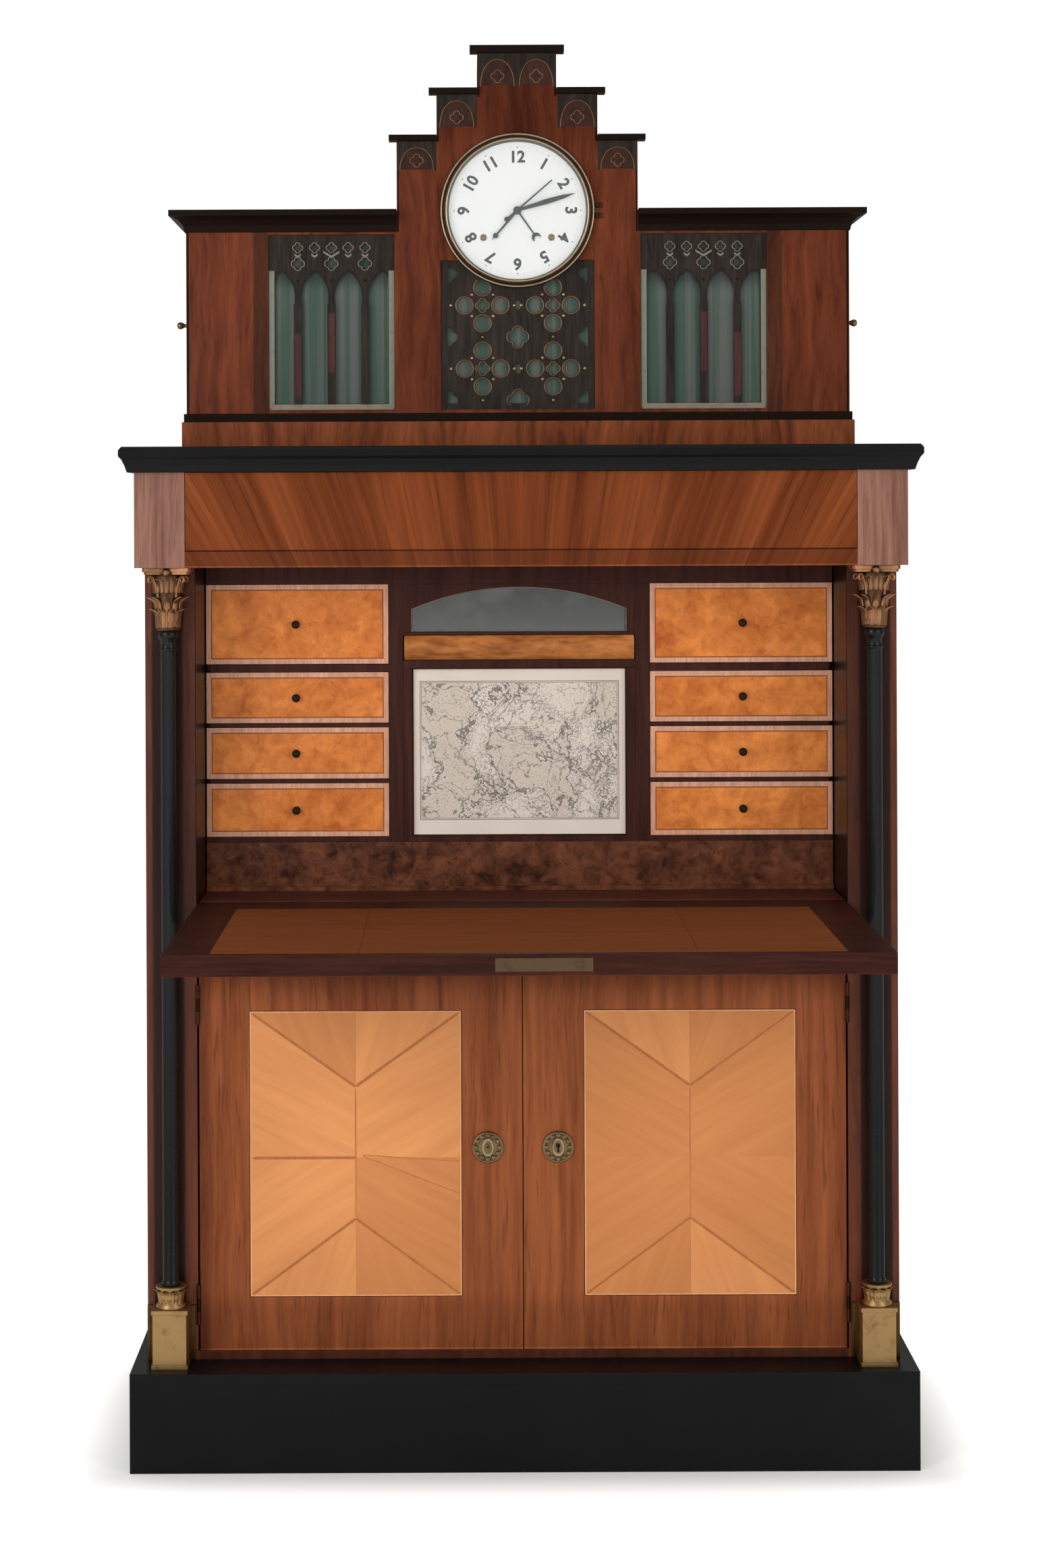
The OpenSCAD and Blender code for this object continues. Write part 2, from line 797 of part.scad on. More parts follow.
// Lock in the front edge of the fall and the keyhole plate on its outer face
module fall_lock() {
    y_key = y_fall + 40;
    color("#b8923f") {
        block([lock_x - lock_w / 2, lock_x + lock_w / 2], [y_fall, y_fall + 1.5 - tiny],
              [z_pivot - lock_h / 2, z_pivot + lock_h / 2]);
        block([lock_x - 45, lock_x + 45], [y_fall + 1.5, y_fall + 60],
              [z_pivot - 7.5, z_pivot + 7.5]);
        translate([lock_x, y_key, z_fall - escutcheon_t]) difference() {
            cylinder(r = escutcheon_r, h = escutcheon_t);
            translate([0, 0, -1]) cylinder(r = 3, h = escutcheon_t + 2);
        }
    }
}

// Pivot pins of the fall with the stop levers that lie in the hollow sides
module fall_irons() {
    color("#9a9a98") both_sides() {
        rod_x(y_pivot, z_pivot, pivot_r, x_fall - pivot_in + 1, x_lever - seam);
        union() {
            rod_x(y_pivot, z_pivot, lever_hub_r, x_lever, x_lever + lever_t);
            block([x_lever, x_lever + lever_t], [y_pivot, y_pivot + lever_l],
                  [z_pivot - lever_w / 2, z_pivot + lever_w / 2]);
        }
    }
}

// Boards of the nest: top, floor, sides, uprights, dividers and centre shelves
module nest_case() {
    y0 = y_nest;
    y1 = y_nest_back;
    z_low = z_nest + seam;
    z_high = z_rows_top + run_gap;
    x_in = x_nest - nest_side_t;
    side_y = y_nest + drawer_front_t + 1;
    color("#3c1d1a") {
        block([-x_nest, x_nest], [y0, y1], [z_nest - nest_board, z_nest]);
        block([-x_nest, x_nest], [y0, y1], [z_high, z_high + nest_board]);
        block([-x_nest, x_nest], [y0, y0 + 19], [z_high + nest_board + seam, z_frieze]);
        both_sides() {
            block([x_in + seam, x_nest], [side_y, y1], [z_low, z_high - seam]);
            block([upright_x0, upright_x0 + upright_w], [y0, y1], [z_low, z_high - seam]);
            for (i = [0 : 2])
                block([upright_x0 + upright_w + seam, x_in], [y0, y1],
                      [row_z[i] + row_h[i] + run_gap, row_z[i + 1] - run_gap]);
        }
        block([-upright_x0 + seam, upright_x0 - seam], [y0 - 4, y1],
              [z_print_top + seam, z_centre_drawer - run_gap]);
        block([-upright_x0 + seam, upright_x0 - seam], [y0, y1],
              [z_mirror - thin_board, z_mirror - seam]);
    }
}

// Apron under the nest with a bead along its foot and a bearer behind
module nest_apron() {
    z1 = z_nest - nest_board;
    bead = 7;
    color("#3a2214") {
        block([-x_nest, x_nest], [y_nest, y_nest + 18], [z_deck, z1]);
        block([-x_nest, x_nest], [y_nest - bead, y_nest - seam], [z_deck, z_deck + bead]);
        block([-x_nest, x_nest], [y_nest_back - 20, y_nest_back], [z_deck, z1]);
    }
}

// Outline of the arched mirror in the XZ plane, grown by a margin at its sides and top
module arch_outline(margin) {
    hw = mirror_hw + margin;
    rise = mirror_rise;
    r = (mirror_hw * mirror_hw + rise * rise) / (2 * rise) + margin;
    top = z_mirror_top;
    intersection() {
        translate([0, top + margin - r]) circle(r = r, $fn = 128);
        translate([-hw, z_mirror]) square([2 * hw, top + 2 * margin - z_mirror]);
    }
}

module arch_mirror() {
    color("#8d9a9c") translate([0, y_nest + 15, 0]) rotate([90, 0, 0])
        linear_extrude(4) arch_outline(3);
}

// Dark surround of the mirror and frame of the map panel with its backing board
module centre_surround() {
    hw = upright_x0 - seam * 2;
    z1 = z_rows_top + run_gap - seam;
    back_y = y_nest + 12;
    color("#30181a") {
        translate([0, y_nest + 10.9, 0]) rotate([90, 0, 0]) linear_extrude(10.9)
            difference() {
                translate([-hw, z_mirror]) square([2 * hw, z1 - z_mirror]);
                arch_outline(0);
            }
        both_sides()
            block([mirror_hw + seam, hw], [y_nest, back_y - seam],
                  [z_nest + seam, z_print_top]);
        block([-hw, hw], [back_y, back_y + 6], [z_nest + seam, z_print_top]);
    }
}

module print_panel() {
    color("#cfc3ae")
        block([-mirror_hw, mirror_hw], [y_nest + 8, y_nest + 12 - tiny],
              [z_nest + seam, z_print_top - seam]);
}

// Turned knob on a front at height z
module knob(x, z, y) {
    r = knob_r;
    translate([x, y - seam, z]) rotate([90, 0, 0]) rotate_extrude()
        polygon([[0, 0], [r * 0.7, 0], [r * 0.45, knob_l * 0.3], [r * 0.5, knob_l * 0.4],
                 [r, knob_l * 0.6], [r * 0.9, knob_l * 0.85], [r * 0.4, knob_l], [0, knob_l]]);
}

// Open box behind a drawer front: sides, back and bottom
module drawer_box(x0, x1, z0, z1, y0, len, t) {
    y1 = y0 + len;
    for (x = [x0, x1 - t]) block([x, x + t], [y0, y1], [z0, z1]);
    block([x0 + t + seam, x1 - t - seam], [y1 - t, y1], [z0, z1]);
    block([x0 + t + seam, x1 - t - seam], [y0, y1 - t - seam], [z0 + 3, z0 + 7]);
}

// Small drawer in a row of the right-hand nest
module nest_drawer(row) {
    z0 = row_z[row];
    z1 = z0 + row_h[row];
    y1 = y_nest + drawer_front_t;
    x_in = x_nest - nest_side_t - run_gap;
    color("#d58a34") {
        block([x_drawer0, x_drawer1], [y_nest, y1], [z0 + run_gap, z1]);
        drawer_box(x_drawer0, x_in, z0 + run_gap, z1 - 8, y1 + seam, drawer_len,
                   drawer_side_t);
    }
    color("#241410") knob(x_knob, (z0 + z1) / 2, y_nest);
}

// Small drawer by its number from the top on one side
module numbered_drawer(side, number) {
    mirror([side < 0 ? 1 : 0, 0, 0]) nest_drawer(4 - number);
}

// Centre drawer with a rounded front
module centre_drawer() {
    hw = upright_x0 - 2;
    z0 = z_centre_drawer;
    h = centre_drawer_h;
    r = (h * h / 4 + centre_bulge * centre_bulge) / (2 * centre_bulge);
    y1 = y_nest + 14;
    color("#c97c2c") {
        translate([-hw, 0, 0]) rotate([90, 0, 90]) linear_extrude(2 * hw)
            union() {
                intersection() {
                    translate([y_nest - centre_bulge + r, z0 + h / 2]) circle(r = r);
                    translate([y_nest - centre_bulge - 1, z0])
                        square([centre_bulge + 1.5, h]);
                }
                translate([y_nest, z0]) square([y1 - y_nest, h]);
            }
        drawer_box(-hw + 1, hw - 1, z0, z0 + h - 6, y1 + seam, drawer_len,
                   drawer_side_t);
    }
}

// Long drawer in the frieze
module frieze_drawer() {
    hw = x_corner - 1;
    front_t = 22;
    y1 = y_frieze + front_t;
    color("#8a4626") {
        block([-hw, hw], [y_frieze, y1], [z_frieze_drawer + run_gap, z_cornice - run_gap]);
        drawer_box(-hw + 2, hw - 2, z_frieze_drawer + run_gap, z_cornice - 20, y1 + seam,
                   frieze_drawer_len, 12);
    }
}

// Hidden boards of the clock case: base, ends, tower walls, backs and the seat board
module clock_case() {
    xb = x_wing + base_out;
    yb = y_case - base_out;
    y0 = y_case + case_t + seam;
    y1 = y_case_back - 12;
    x_in = x_wing - case_t;
    z_step = z_tower_top - cap_t;
    color("#6a2f1e") {
        block([-xb, xb], [yb, y_case + case_t], [z_case, z_band]);
        both_sides() {
            block([xb - base_out - case_t, xb], [y0, y_case_back], [z_case, z_band]);
            block([x_in, x_wing], [y0, side_door_y0 - run_gap], [z_wing, z_wing_top]);
            block([x_in, x_wing], [side_door_y1 + run_gap, y1 - seam], [z_wing, z_wing_top]);
            block([x_in, x_wing], [side_door_y0, side_door_y1],
                  [z_wing, side_door_z0 - run_gap]);
            block([x_in, x_wing], [side_door_y0, side_door_y1],
                  [side_door_z1 + run_gap, z_wing_top]);
            block([x_tower - case_t, x_tower], [y0, y1 - seam], [z_wing, z_step - seam]);
            block([stage2_w / 2 - case_t, stage2_w / 2], [y0, y1 - seam],
                  [z_tower_top + seam, z_stage2_top]);
            block([stage3_w / 2 - case_t, stage3_w / 2], [y0, y1 - seam],
                  [z_stage2_top + cap_t + seam, z_stage3_top]);
        }
        block([-x_in + seam, x_in - seam], [y0, y_case_back], [z_case, z_case + 12]);
        block([-x_tower, x_tower], [y0, y1 - seam], [z_step, z_tower_top]);
        block([-x_wing, x_wing], [y1, y_case_back], [z_wing, z_wing_top]);
        block([-x_tower, x_tower], [y1, y_case_back], [z_wing_top + seam, z_tower_top]);
        block([-stage2_w / 2, stage2_w / 2], [y1, y_case_back],
              [z_tower_top + seam, z_stage2_top]);
        block([-stage3_w / 2, stage3_w / 2], [y1, y_case_back],
              [z_stage2_top + cap_t + seam, z_stage3_top]);
        block([-x_tower + case_t + seam, x_tower - case_t - seam], [y0, y_seat1],
              [z_seat - seat_t, z_seat]);
    }
}

// Veneered front: the stepped tower board and the fixed parts of the wings
module case_front() {
    y1 = y_case + case_t;
    h1 = z_tower_top;
    h2 = z_stage2_top;
    h3 = z_stage3_top;
    outline = [[-x_tower, z_wing], [x_tower, z_wing], [x_tower, h1], [stage2_w / 2, h1],
               [stage2_w / 2, h2], [stage3_w / 2, h2], [stage3_w / 2, h3],
               [-stage3_w / 2, h3], [-stage3_w / 2, h2], [-stage2_w / 2, h2],
               [-stage2_w / 2, h1], [-x_tower, h1]];
    color("#7a3420") {
        difference() {
            translate([0, y1, 0]) rotate([90, 0, 0]) linear_extrude(case_t)
                polygon(outline);
            rod_y(0, z_dial, dial_r + 2, y_case - 1, y1 + 1);
            block([-tower_opening_hw, tower_opening_hw], [y_case - 1, y1 + 1],
                  [z_sill, z_opening_top]);
        }
        both_sides() {
            block([x_strip + strip_w + seam, x_wing], [y_case, y1], [z_wing, z_wing_top]);
            block([x_strip, x_strip + strip_w], [y_case, y1], [z_wing, z_wing_top]);
            block([x_tower + seam, x_window], [y_case, y1], [z_wing, z_wing_top]);
            block([x_window + seam, x_strip - seam], [y_case, y1], [z_wing, z_sill]);
            block([x_window + seam, x_strip - seam], [y_case, y1], [z_head, z_wing_top]);
        }
    }
}

// Black band over the base, cornices of the wings and caps of the stages
module case_mouldings() {
    o = wing_cornice_out;
    h = wing_cornice_h;
    xb = x_wing + base_out - 3;
    yb = y_case - base_out + 3;
    color("#1a1513") {
        block([-xb, xb], [yb, y_case + case_t], [z_band, z_wing]);
        both_sides() {
            block([x_wing - case_t, xb], [y_case + case_t + seam, y_case_back],
                  [z_band, z_wing]);
            intersection() {
                moulded_slab(x_wing, y_case, y_case_back, z_wing_top,
                             [[2, 0], [4, h * 0.3], [o * 0.45, h * 0.55], [o * 0.8, h * 0.68],
                              [o, h * 0.72], [o, h]]);
                block([x_tower + seam, x_wing + 100], [y_case - 100, y_case_back],
                      [z_wing_top - 1, z_wing_top + h + 1]);
            }
            cap(stage2_w / 2 + seam, x_tower, z_tower_top + seam, z_tower_top + cap_t);
            cap(stage3_w / 2 + seam, stage2_w / 2, z_stage2_top + seam, z_stage2_top + cap_t);
        }
        cap(-stage3_w / 2, stage3_w / 2, z_stage3_top, z_stage3_top + cap_t + 2);
    }
}

// Cap from x0 to x1 that stands out in front and, near the face, at its outer side
module cap(x0, x1, z0, z1) {
    y1 = y_case + cap_return;
    x_low = x0 < 0 ? x0 - cap_out : x0;
    block([x_low, x1 + cap_out], [y_case - cap_out, y1], [z0, z1]);
    block([x0, x1], [y1 + seam, y_case_back], [z0, z1]);
}

// Opening under a pointed arch of span w whose bar lies across the line of the arch
module arch_opening(w, bar) {
    intersection() {
        translate([w / 2, -eps]) circle(r = w - bar / 2);
        translate([-w / 2, -eps]) circle(r = w - bar / 2);
    }
}

// Ring of a pointed arch of span w on the line z = 0
module pointed_arch(w, bar) {
    difference() {
        intersection() {
            translate([w / 2, 0]) circle(r = w + bar / 2);
            translate([-w / 2, 0]) circle(r = w + bar / 2);
            translate([-w, 0]) square([2 * w, 2 * w]);
        }
        arch_opening(w, bar);
    }
}

// Four-lobed opening round the origin
module foil(r) {
    for (a = [0 : 90 : 270]) rotate(a) translate([r / 2, 0]) circle(r = r / 2);
}

// Tracery of a wing window: lancets under pointed arches and a pierced head
module wing_tracery() {
    w = window_w - 2 * seam;
    z0 = z_sill;
    h = z_head - z_sill;
    bar = tracery_bar;
    x = [for (i = [0 : lancets]) w / 2 + (i - lancets / 2) * lancet_pitch];
    mid = lancet_pitch / 2;
    color("#3a241a") both_sides() translate([x_window + seam, y_case + 4 + tracery_t, 0])
        rotate([90, 0, 0]) linear_extrude(tracery_t) intersection() {
            translate([0, z0]) square([w, h]);
            union() {
                for (i = [1 : lancets - 1])
                    translate([x[i] - bar / 2, z0]) square([bar, lancet_h + 8]);
                for (i = [0 : lancets - 1]) translate([x[i] + mid, z0 + lancet_h])
                    pointed_arch(lancet_pitch, bar * 0.8);
                difference() {
                    translate([0, z0 + lancet_h + head_rise])
                        square([w, h - lancet_h - head_rise]);
                    for (i = [0 : lancets - 1]) translate([x[i] + mid, z0 + lancet_h])
                        arch_opening(lancet_pitch, bar * 0.8);
                    for (i = [1 : lancets - 1])
                        translate([x[i], z0 + lancet_h + large_hole_rise]) foil(large_hole_r);
                    for (i = [1 : 0.5 : lancets - 1])
                        translate([w / 2 + (i - lancets / 2) * lancet_pitch,
                                   z0 + lancet_h + small_hole_rise]) foil(small_hole_r);
                }
                for (edge = [0, w - bar]) translate([edge, z0]) square([bar, h]);
                for (edge = [0, h - bar]) translate([0, z0 + edge]) square([w, bar]);
            }
        }
}

// Tracery under the dial: a plate pierced with rows of flowers
module centre_tracery() {
    hw = tower_opening_hw - seam;
    z0 = z_sill + seam;
    z1 = z_opening_top - seam;
    bar = tracery_bar;
    junction_r = 8;
    color("#3a241a") translate([0, y_case + 4 + tracery_t, 0]) rotate([90, 0, 0])
        linear_extrude(tracery_t) difference() {
            translate([-hw, z0]) square([2 * hw, z1 - z0]);
            intersection() {
                translate([-hw + bar, z0 + bar]) square([2 * (hw - bar), z1 - z0 - 2 * bar]);
                for (row = [-1 : 2]) {
                    z = z0 + foil_row_rise + row * foil_pitch_z;
                    for (side = [-1, 1]) translate([side * foil_pitch_x / 2, z]) {
                        foil(junction_r + 2);
                        for (a = [0 : 90 : 270])
                            rotate(a) translate([petal_at, 0]) circle(r = petal_r);
                        translate([0, foil_pitch_z / 2]) circle(r = junction_r / 2);
                    }
                    translate([0, z]) foil(junction_r);
                    for (x = [-foil_pitch_x, 0, foil_pitch_x])
                        translate([x, z + foil_pitch_z / 2]) foil(2 * junction_r);
                }
            }
            translate([0, z_dial]) circle(r = dial_r + 4);
        }
}

// Stretched green silk behind the three windows
module silk_panels() {
    y0 = y_case + 4 + tracery_t + seam;
    silk_t = 1;
    color("#5e7d68") {
        both_sides()
            block([x_window + seam, x_strip - seam], [y0, y0 + silk_t],
                  [z_sill + seam, z_head - seam]);
        block([-tower_opening_hw + seam, tower_opening_hw - seam], [y0, y0 + silk_t],
              [z_sill + seam, z_opening_top - seam]);
    }
}

// Enamel dial with its feet, bored for the hands and the winding squares
module dial() {
    foot_r = 2;
    foot_at = 62;
    color("#f2efe8") {
        difference() {
            rod_y(0, z_dial, dial_r, y_dial, y_case);
            rod_y(0, z_dial, dial_bore, y_dial - 1, y_case + 1);
            for (s = [-1, 1]) rod_y(s * winding_x, winding_z, 4, y_dial - 1, y_case + 1);
        }
    }
    color("#b8923f") for (a = [30, 150, 270])
        rod_y(foot_at * cos(a), z_dial + foot_at * sin(a), foot_r, y_case + seam, y_plate);
}

// Hinged bezel ring with the moving half of its hinge
module bezel() {
    y0 = y_case - seam;
    ledge = bezel_h - glass_t - seam;
    color("#c39a45") {
        difference() {
            translate([0, y0, z_dial]) rotate([90, 0, 0]) rotate_extrude($fn = 96)
                polygon([[dial_r + 1, 0], [bezel_r, 0], [bezel_r, 5], [bezel_r - 4, 9],
                         [bezel_r - 6, bezel_h], [glass_r, bezel_h], [glass_r, ledge],
                         [dial_r + 1, ledge]]);
            translate([bezel_hinge_x, y_bezel_hinge, z_dial - 13])
                cylinder(r = hinge_side_r + 0.3, h = 26);
        }
        translate([bezel_hinge_x, y_bezel_hinge, z_dial]) difference() {
            union() {
                translate([0, 0, -3.8]) cylinder(r = hinge_side_r, h = 7.6);
                translate([-6, -2.3, -3.8]) cube([6, 2, 7.6]);
            }
            translate([0, 0, -5]) cylinder(r = 1 + pin_play, h = 10);
        }
    }
}

module dial_glass() {
    color([0.8, 0.9, 0.9, 0.4])
        rod_y(0, z_dial, glass_r - seam, y_case - seam - bezel_h, y_case - seam - bezel_h + glass_t);
}

// Pipe of a hand: level 0 is the innermost arbor
module hand_pipe(level, y0) {
    y1 = y_plate + 3 + (3 - level) * 4;
    difference() {
        rod_y(0, z_dial, pipe_r[level], y0, y1);
        if (level > 0) rod_y(0, z_dial, pipe_r[level - 1] + pipe_play, y0 - 1, y1 + 1);
    }
}

// Flat hand at an angle clockwise from twelve; level sets its place on the arbor
module hand(level, angle) {
    y0 = y_hands - hand_pitch * (4 - level);
    difference() {
        union() {
            translate([0, y0 + hand_t, z_dial]) rotate([90, 0, 0]) linear_extrude(hand_t)
                rotate(-angle) children();
            hand_pipe(level, y0);
        }
        if (level > 0)
            rod_y(0, z_dial, pipe_r[level - 1] + pipe_play, y0 - 1, y0 + hand_t + 1);
    }
}

module hour_hand() {
    color("#16181c") hand(2, 220.9) {
        circle(r = 6);
        polygon([[-2, 0], [2, 0], [1.3, hour_l - 8], [0, hour_l], [-1.3, hour_l - 8]]);
        translate([0, hour_l - 10]) circle(r = 4.2);
    }
}

module minute_hand() {
    color("#23262b") hand(1, 73.8) {
        circle(r = 5);
        polygon([[-2, 0], [2, 0], [4, minute_l * 0.5], [3, minute_l * 0.8], [0, minute_l],
                 [-3, minute_l * 0.8], [-4, minute_l * 0.5]]);
    }
}

module date_hand() {
    color("#16181c") hand(3, 145) {
        circle(r = 6.5);
        polygon([[-1.4, 0], [1.4, 0], [1, date_l - 12], [-1, date_l - 12]]);
        translate([0, date_l - 6]) difference() {
            circle(r = 7);
            translate([0, 4]) circle(r = 5.5);
        }
    }
}

module seconds_hand() {
    color("#16181c") hand(0, 49.2) {
        circle(r = 3.5);
        polygon([[-1.6, -20], [1.6, -20], [1, seconds_l], [-1, seconds_l]]);
        translate([0, -22]) circle(r = 4);
    }
}

// A plain wheel on an arbor that runs from plate to plate
module wheel(x, z, r, y, t) {
    rod_y(x, z, r, y, y + t);
    rod_y(x, z, 3, y - 4, y);
    rod_y(x, z, 1.5, y_plate + plate_t, y_plate2);
}

// Clock movement: plates, pillars, barrels, wheels, arbors and the pendulum cock
module movement() {
    z0 = z_seat;
    y0 = y_plate;
    y_in0 = y_plate + plate_t;
    pin_y1 = y_pendulum + 4;
    color("#c09a48") {
        difference() {
            block([-plate_hw, plate_hw], [y0, y_in0], [z0, z_plate_top]);
            rod_y(0, z_dial, pipe_r[3] + pipe_play, y0 - 1, y_in0 + 1);
        }
        block([-plate_hw, plate_hw], [y_plate2, y_plate2 + plate_t], [z0, z_plate_top]);
        for (x = [-plate_hw + 10, plate_hw - 10]) for (z = [z0 + 10, z_plate_top - 10])
            rod_y(x, z, 4, y_in0 + seam, y_plate2 - seam);
        for (s = [-1, 1]) {
            rod_y(s * winding_x, winding_z, barrel_r, y_in0 + 8, y_in0 + 42);
            rod_y(s * winding_x, winding_z, barrel_r + 3, y_in0 + 42 + 2 * seam, y_in0 + 46);
            wheel(s * 34, z_dial + 26, 20, y_in0 + 30, 3);
        }
        wheel(0, z_dial - 34, 22, y_in0 + 50, 2.5);
        block([-12, 12], [y_plate2 + plate_t, y_plate2 + plate_t + 3],
              [z_pendulum - 12, z_pendulum + 12]);
        rod_y(0, z_pendulum, pendulum_pin_r, y_plate2 + plate_t, pin_y1);
    }
    color("#8a8a88") for (s = [-1, 1]) {
        rod_y(s * winding_x, winding_z, 2.5, y_dial + 1, y0 - seam);
        rod_y(s * winding_x, winding_z, 2.5, y_in0 + seam, y_in0 + 8 - seam);
    }
}

// Shallow bell on a stem above the movement
module bell() {
    r = 38;
    z0 = z_plate_top + 2;
    y = y_plate + bell_back;
    rise = 18;
    color("#a88a4a") translate([0, y, z0]) {
        rotate_extrude() polygon([[0, rise - 3], [r * 0.55, rise - 4], [r * 0.85, rise - 10],
                                  [r - 2, 0], [r, 0], [r * 0.9, rise - 8],
                                  [r * 0.6, rise - 1.5], [0, rise]]);
        translate([0, 0, rise - 3 - 24]) cylinder(r = 2.5, h = 24);
    }
    color("#8a8a88") block([-4, 4], [y_plate + plate_t + seam, y + 2.5],
                           [z_plate_top - 14, z_plate_top - 7 - seam]);
}

// Pendulum: an eye on the cock's pin, a rod and a lens-shaped bob
module pendulum() {
    y = y_pendulum;
    bob_t = 12;
    color("#c39a45") {
        difference() {
            union() {
                rod_y(0, z_pendulum, 5, y - 2.5, y + 2.5);
                translate([0, y, z_pendulum - pendulum_l]) cylinder(r = 1.5,
                                                                   h = pendulum_l - 3);
            }
            rod_y(0, z_pendulum, pendulum_pin_r + pin_play, y - 4, y + 4);
        }
        translate([0, y, z_pendulum - pendulum_l]) rotate([90, 0, 0]) difference() {
            rotate_extrude() polygon([[0, -bob_t / 2], [bob_r * 0.6, -bob_t * 0.4],
                                      [bob_r, 0], [bob_r * 0.6, bob_t * 0.4],
                                      [0, bob_t / 2]]);
            rotate([-90, 0, 0]) cylinder(r = 1.5 + seam, h = bob_r + 1);
        }
    }
}

// Access door in the end of a wing, with its knob and hinge halves
module side_door() {
    y0 = side_door_y0 + run_gap;
    y1 = side_door_y1 - run_gap;
    color("#6a2f1e")
        block([x_wing - case_t + 1, x_wing], [y0, y1],
              [side_door_z0 + run_gap, side_door_z1 - run_gap]);
    color("#b8923f") {
        translate([x_wing + seam, y0 + 16, z_wing + knob_rise]) rotate([0, 90, 0])
            rotate_extrude() polygon([[0, 0], [4.5, 0], [2.5, 4], [2.5, 8], [5.5, 14], [4.5, 19],
                                      [0, 20]]);
        for (z = [side_door_z0 + 40, side_door_z1 - 40])
            translate([x_side_hinge, y_side_hinge, z]) difference() {
                union() {
                    translate([0, 0, -5.8]) cylinder(r = hinge_side_r, h = 11.6);
                    translate([-hinge_side_r, -14, -5.8]) cube([1, 13.5, 11.6]);
                }
                translate([0, 0, -7]) cylinder(r = 1 + pin_play, h = 14);
            }
    }
}

module right_side_door() {
    side_door();
}

module left_side_door() {
    mirror([1, 0, 0]) side_door();
}

plinth();
cupboard_floor();
left_side();
right_side();
back_panel();
middle_rail();
writing_deck();
cupboard_shelf();
frieze_ends();
frieze_rail();
cornice();
columns();
capitals();
column_bases();
pilaster_mounts();
carcass_fittings();
left_door();
right_door();
left_door_panel();
right_door_panel();
left_door_fittings();
right_door_fittings();
fall_board();
writing_surface();
fall_lock();
fall_irons();
nest_case();
nest_apron();
arch_mirror();
centre_surround();
print_panel();
numbered_drawer(-1, 1);  // left_drawer_1
numbered_drawer(-1, 2);  // left_drawer_2
numbered_drawer(-1, 3);  // left_drawer_3
numbered_drawer(-1, 4);  // left_drawer_4
numbered_drawer(1, 1);  // right_drawer_1
numbered_drawer(1, 2);  // right_drawer_2
numbered_drawer(1, 3);  // right_drawer_3
numbered_drawer(1, 4);  // right_drawer_4
centre_drawer();
frieze_drawer();
clock_case();
case_front();
case_mouldings();
wing_tracery();
centre_tracery();
silk_panels();
dial();
bezel();
dial_glass();
hour_hand();
minute_hand();
date_hand();
seconds_hand();
movement();
bell();
pendulum();
left_side_door();
right_side_door();
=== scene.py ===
"""Looks of a fall-front writing cabinet with a stepped clock case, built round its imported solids."""

import logging
import math
from dataclasses import dataclass
from enum import Enum
from typing import Callable, Iterable, Sequence

import bmesh
import bpy
from mathutils import Matrix, Vector

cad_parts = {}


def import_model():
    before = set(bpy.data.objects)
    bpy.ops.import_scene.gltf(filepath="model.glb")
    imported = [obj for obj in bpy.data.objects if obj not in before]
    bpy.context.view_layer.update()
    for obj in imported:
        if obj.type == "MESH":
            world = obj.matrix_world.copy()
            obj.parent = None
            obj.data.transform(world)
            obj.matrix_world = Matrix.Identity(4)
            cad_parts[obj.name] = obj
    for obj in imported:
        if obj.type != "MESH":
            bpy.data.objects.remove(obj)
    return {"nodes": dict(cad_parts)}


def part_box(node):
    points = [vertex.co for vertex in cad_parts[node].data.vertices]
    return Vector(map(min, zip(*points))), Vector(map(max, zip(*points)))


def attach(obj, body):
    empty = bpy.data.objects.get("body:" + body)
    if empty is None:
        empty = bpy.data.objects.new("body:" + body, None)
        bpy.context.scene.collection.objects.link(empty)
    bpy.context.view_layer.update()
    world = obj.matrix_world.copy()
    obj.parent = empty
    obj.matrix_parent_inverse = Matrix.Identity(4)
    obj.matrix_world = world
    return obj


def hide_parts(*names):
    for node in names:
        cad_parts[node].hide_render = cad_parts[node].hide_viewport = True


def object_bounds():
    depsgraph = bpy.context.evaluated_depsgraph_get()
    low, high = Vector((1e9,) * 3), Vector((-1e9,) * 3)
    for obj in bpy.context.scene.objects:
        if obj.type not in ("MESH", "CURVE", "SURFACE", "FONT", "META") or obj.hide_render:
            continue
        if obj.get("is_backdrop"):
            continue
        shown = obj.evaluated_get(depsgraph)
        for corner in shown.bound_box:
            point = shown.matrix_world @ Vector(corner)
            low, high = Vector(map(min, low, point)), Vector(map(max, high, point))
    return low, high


LOG = logging.getLogger("cabinet")

Point = tuple[float, float, float]
Flat = tuple[float, float]
Colour = tuple[float, float, float]

# Axis of the right-hand column, and the front planes of the doors, the nest and the clock case
X_COLUMN, Y_COLUMN = 0.528, -0.2175
Y_FRONT, Y_NEST, Y_CASE = -0.1875, -0.0375, -0.0375
# Underside of the frieze, middle of the dial's face, and the front plane of the traceries
Z_FRIEZE = 1.340
DIAL = (0.0, -0.0405, 1.892)
TRACERY_FACE = -0.0335
# How far a piece stands off the face that carries it, and a length too small to count
SKIN, NOTHING = 0.0001, 1e-6


class Axis(Enum):
    """Direction in which a turned profile grows."""

    UP = "up"
    FRONT = "front"
    RIGHT = "right"

    def spot(self, centre: Point, radius: float, height: float, turn: float = 0.0) -> Point:
        """Places one point of a turned shape.

        Args:
            centre: Where the axis starts.
            radius: The point's distance from the axis.
            height: Its distance along the axis.
            turn: Its angle round the axis, in radians.

        Returns:
            The point.
        """
        a, b = radius * math.cos(turn), radius * math.sin(turn)
        x, y, z = centre
        if self is Axis.UP:
            return x + a, y + b, z + height
        if self is Axis.FRONT:
            return x + a, y - height, z + b
        return x + height, y + a, z + b


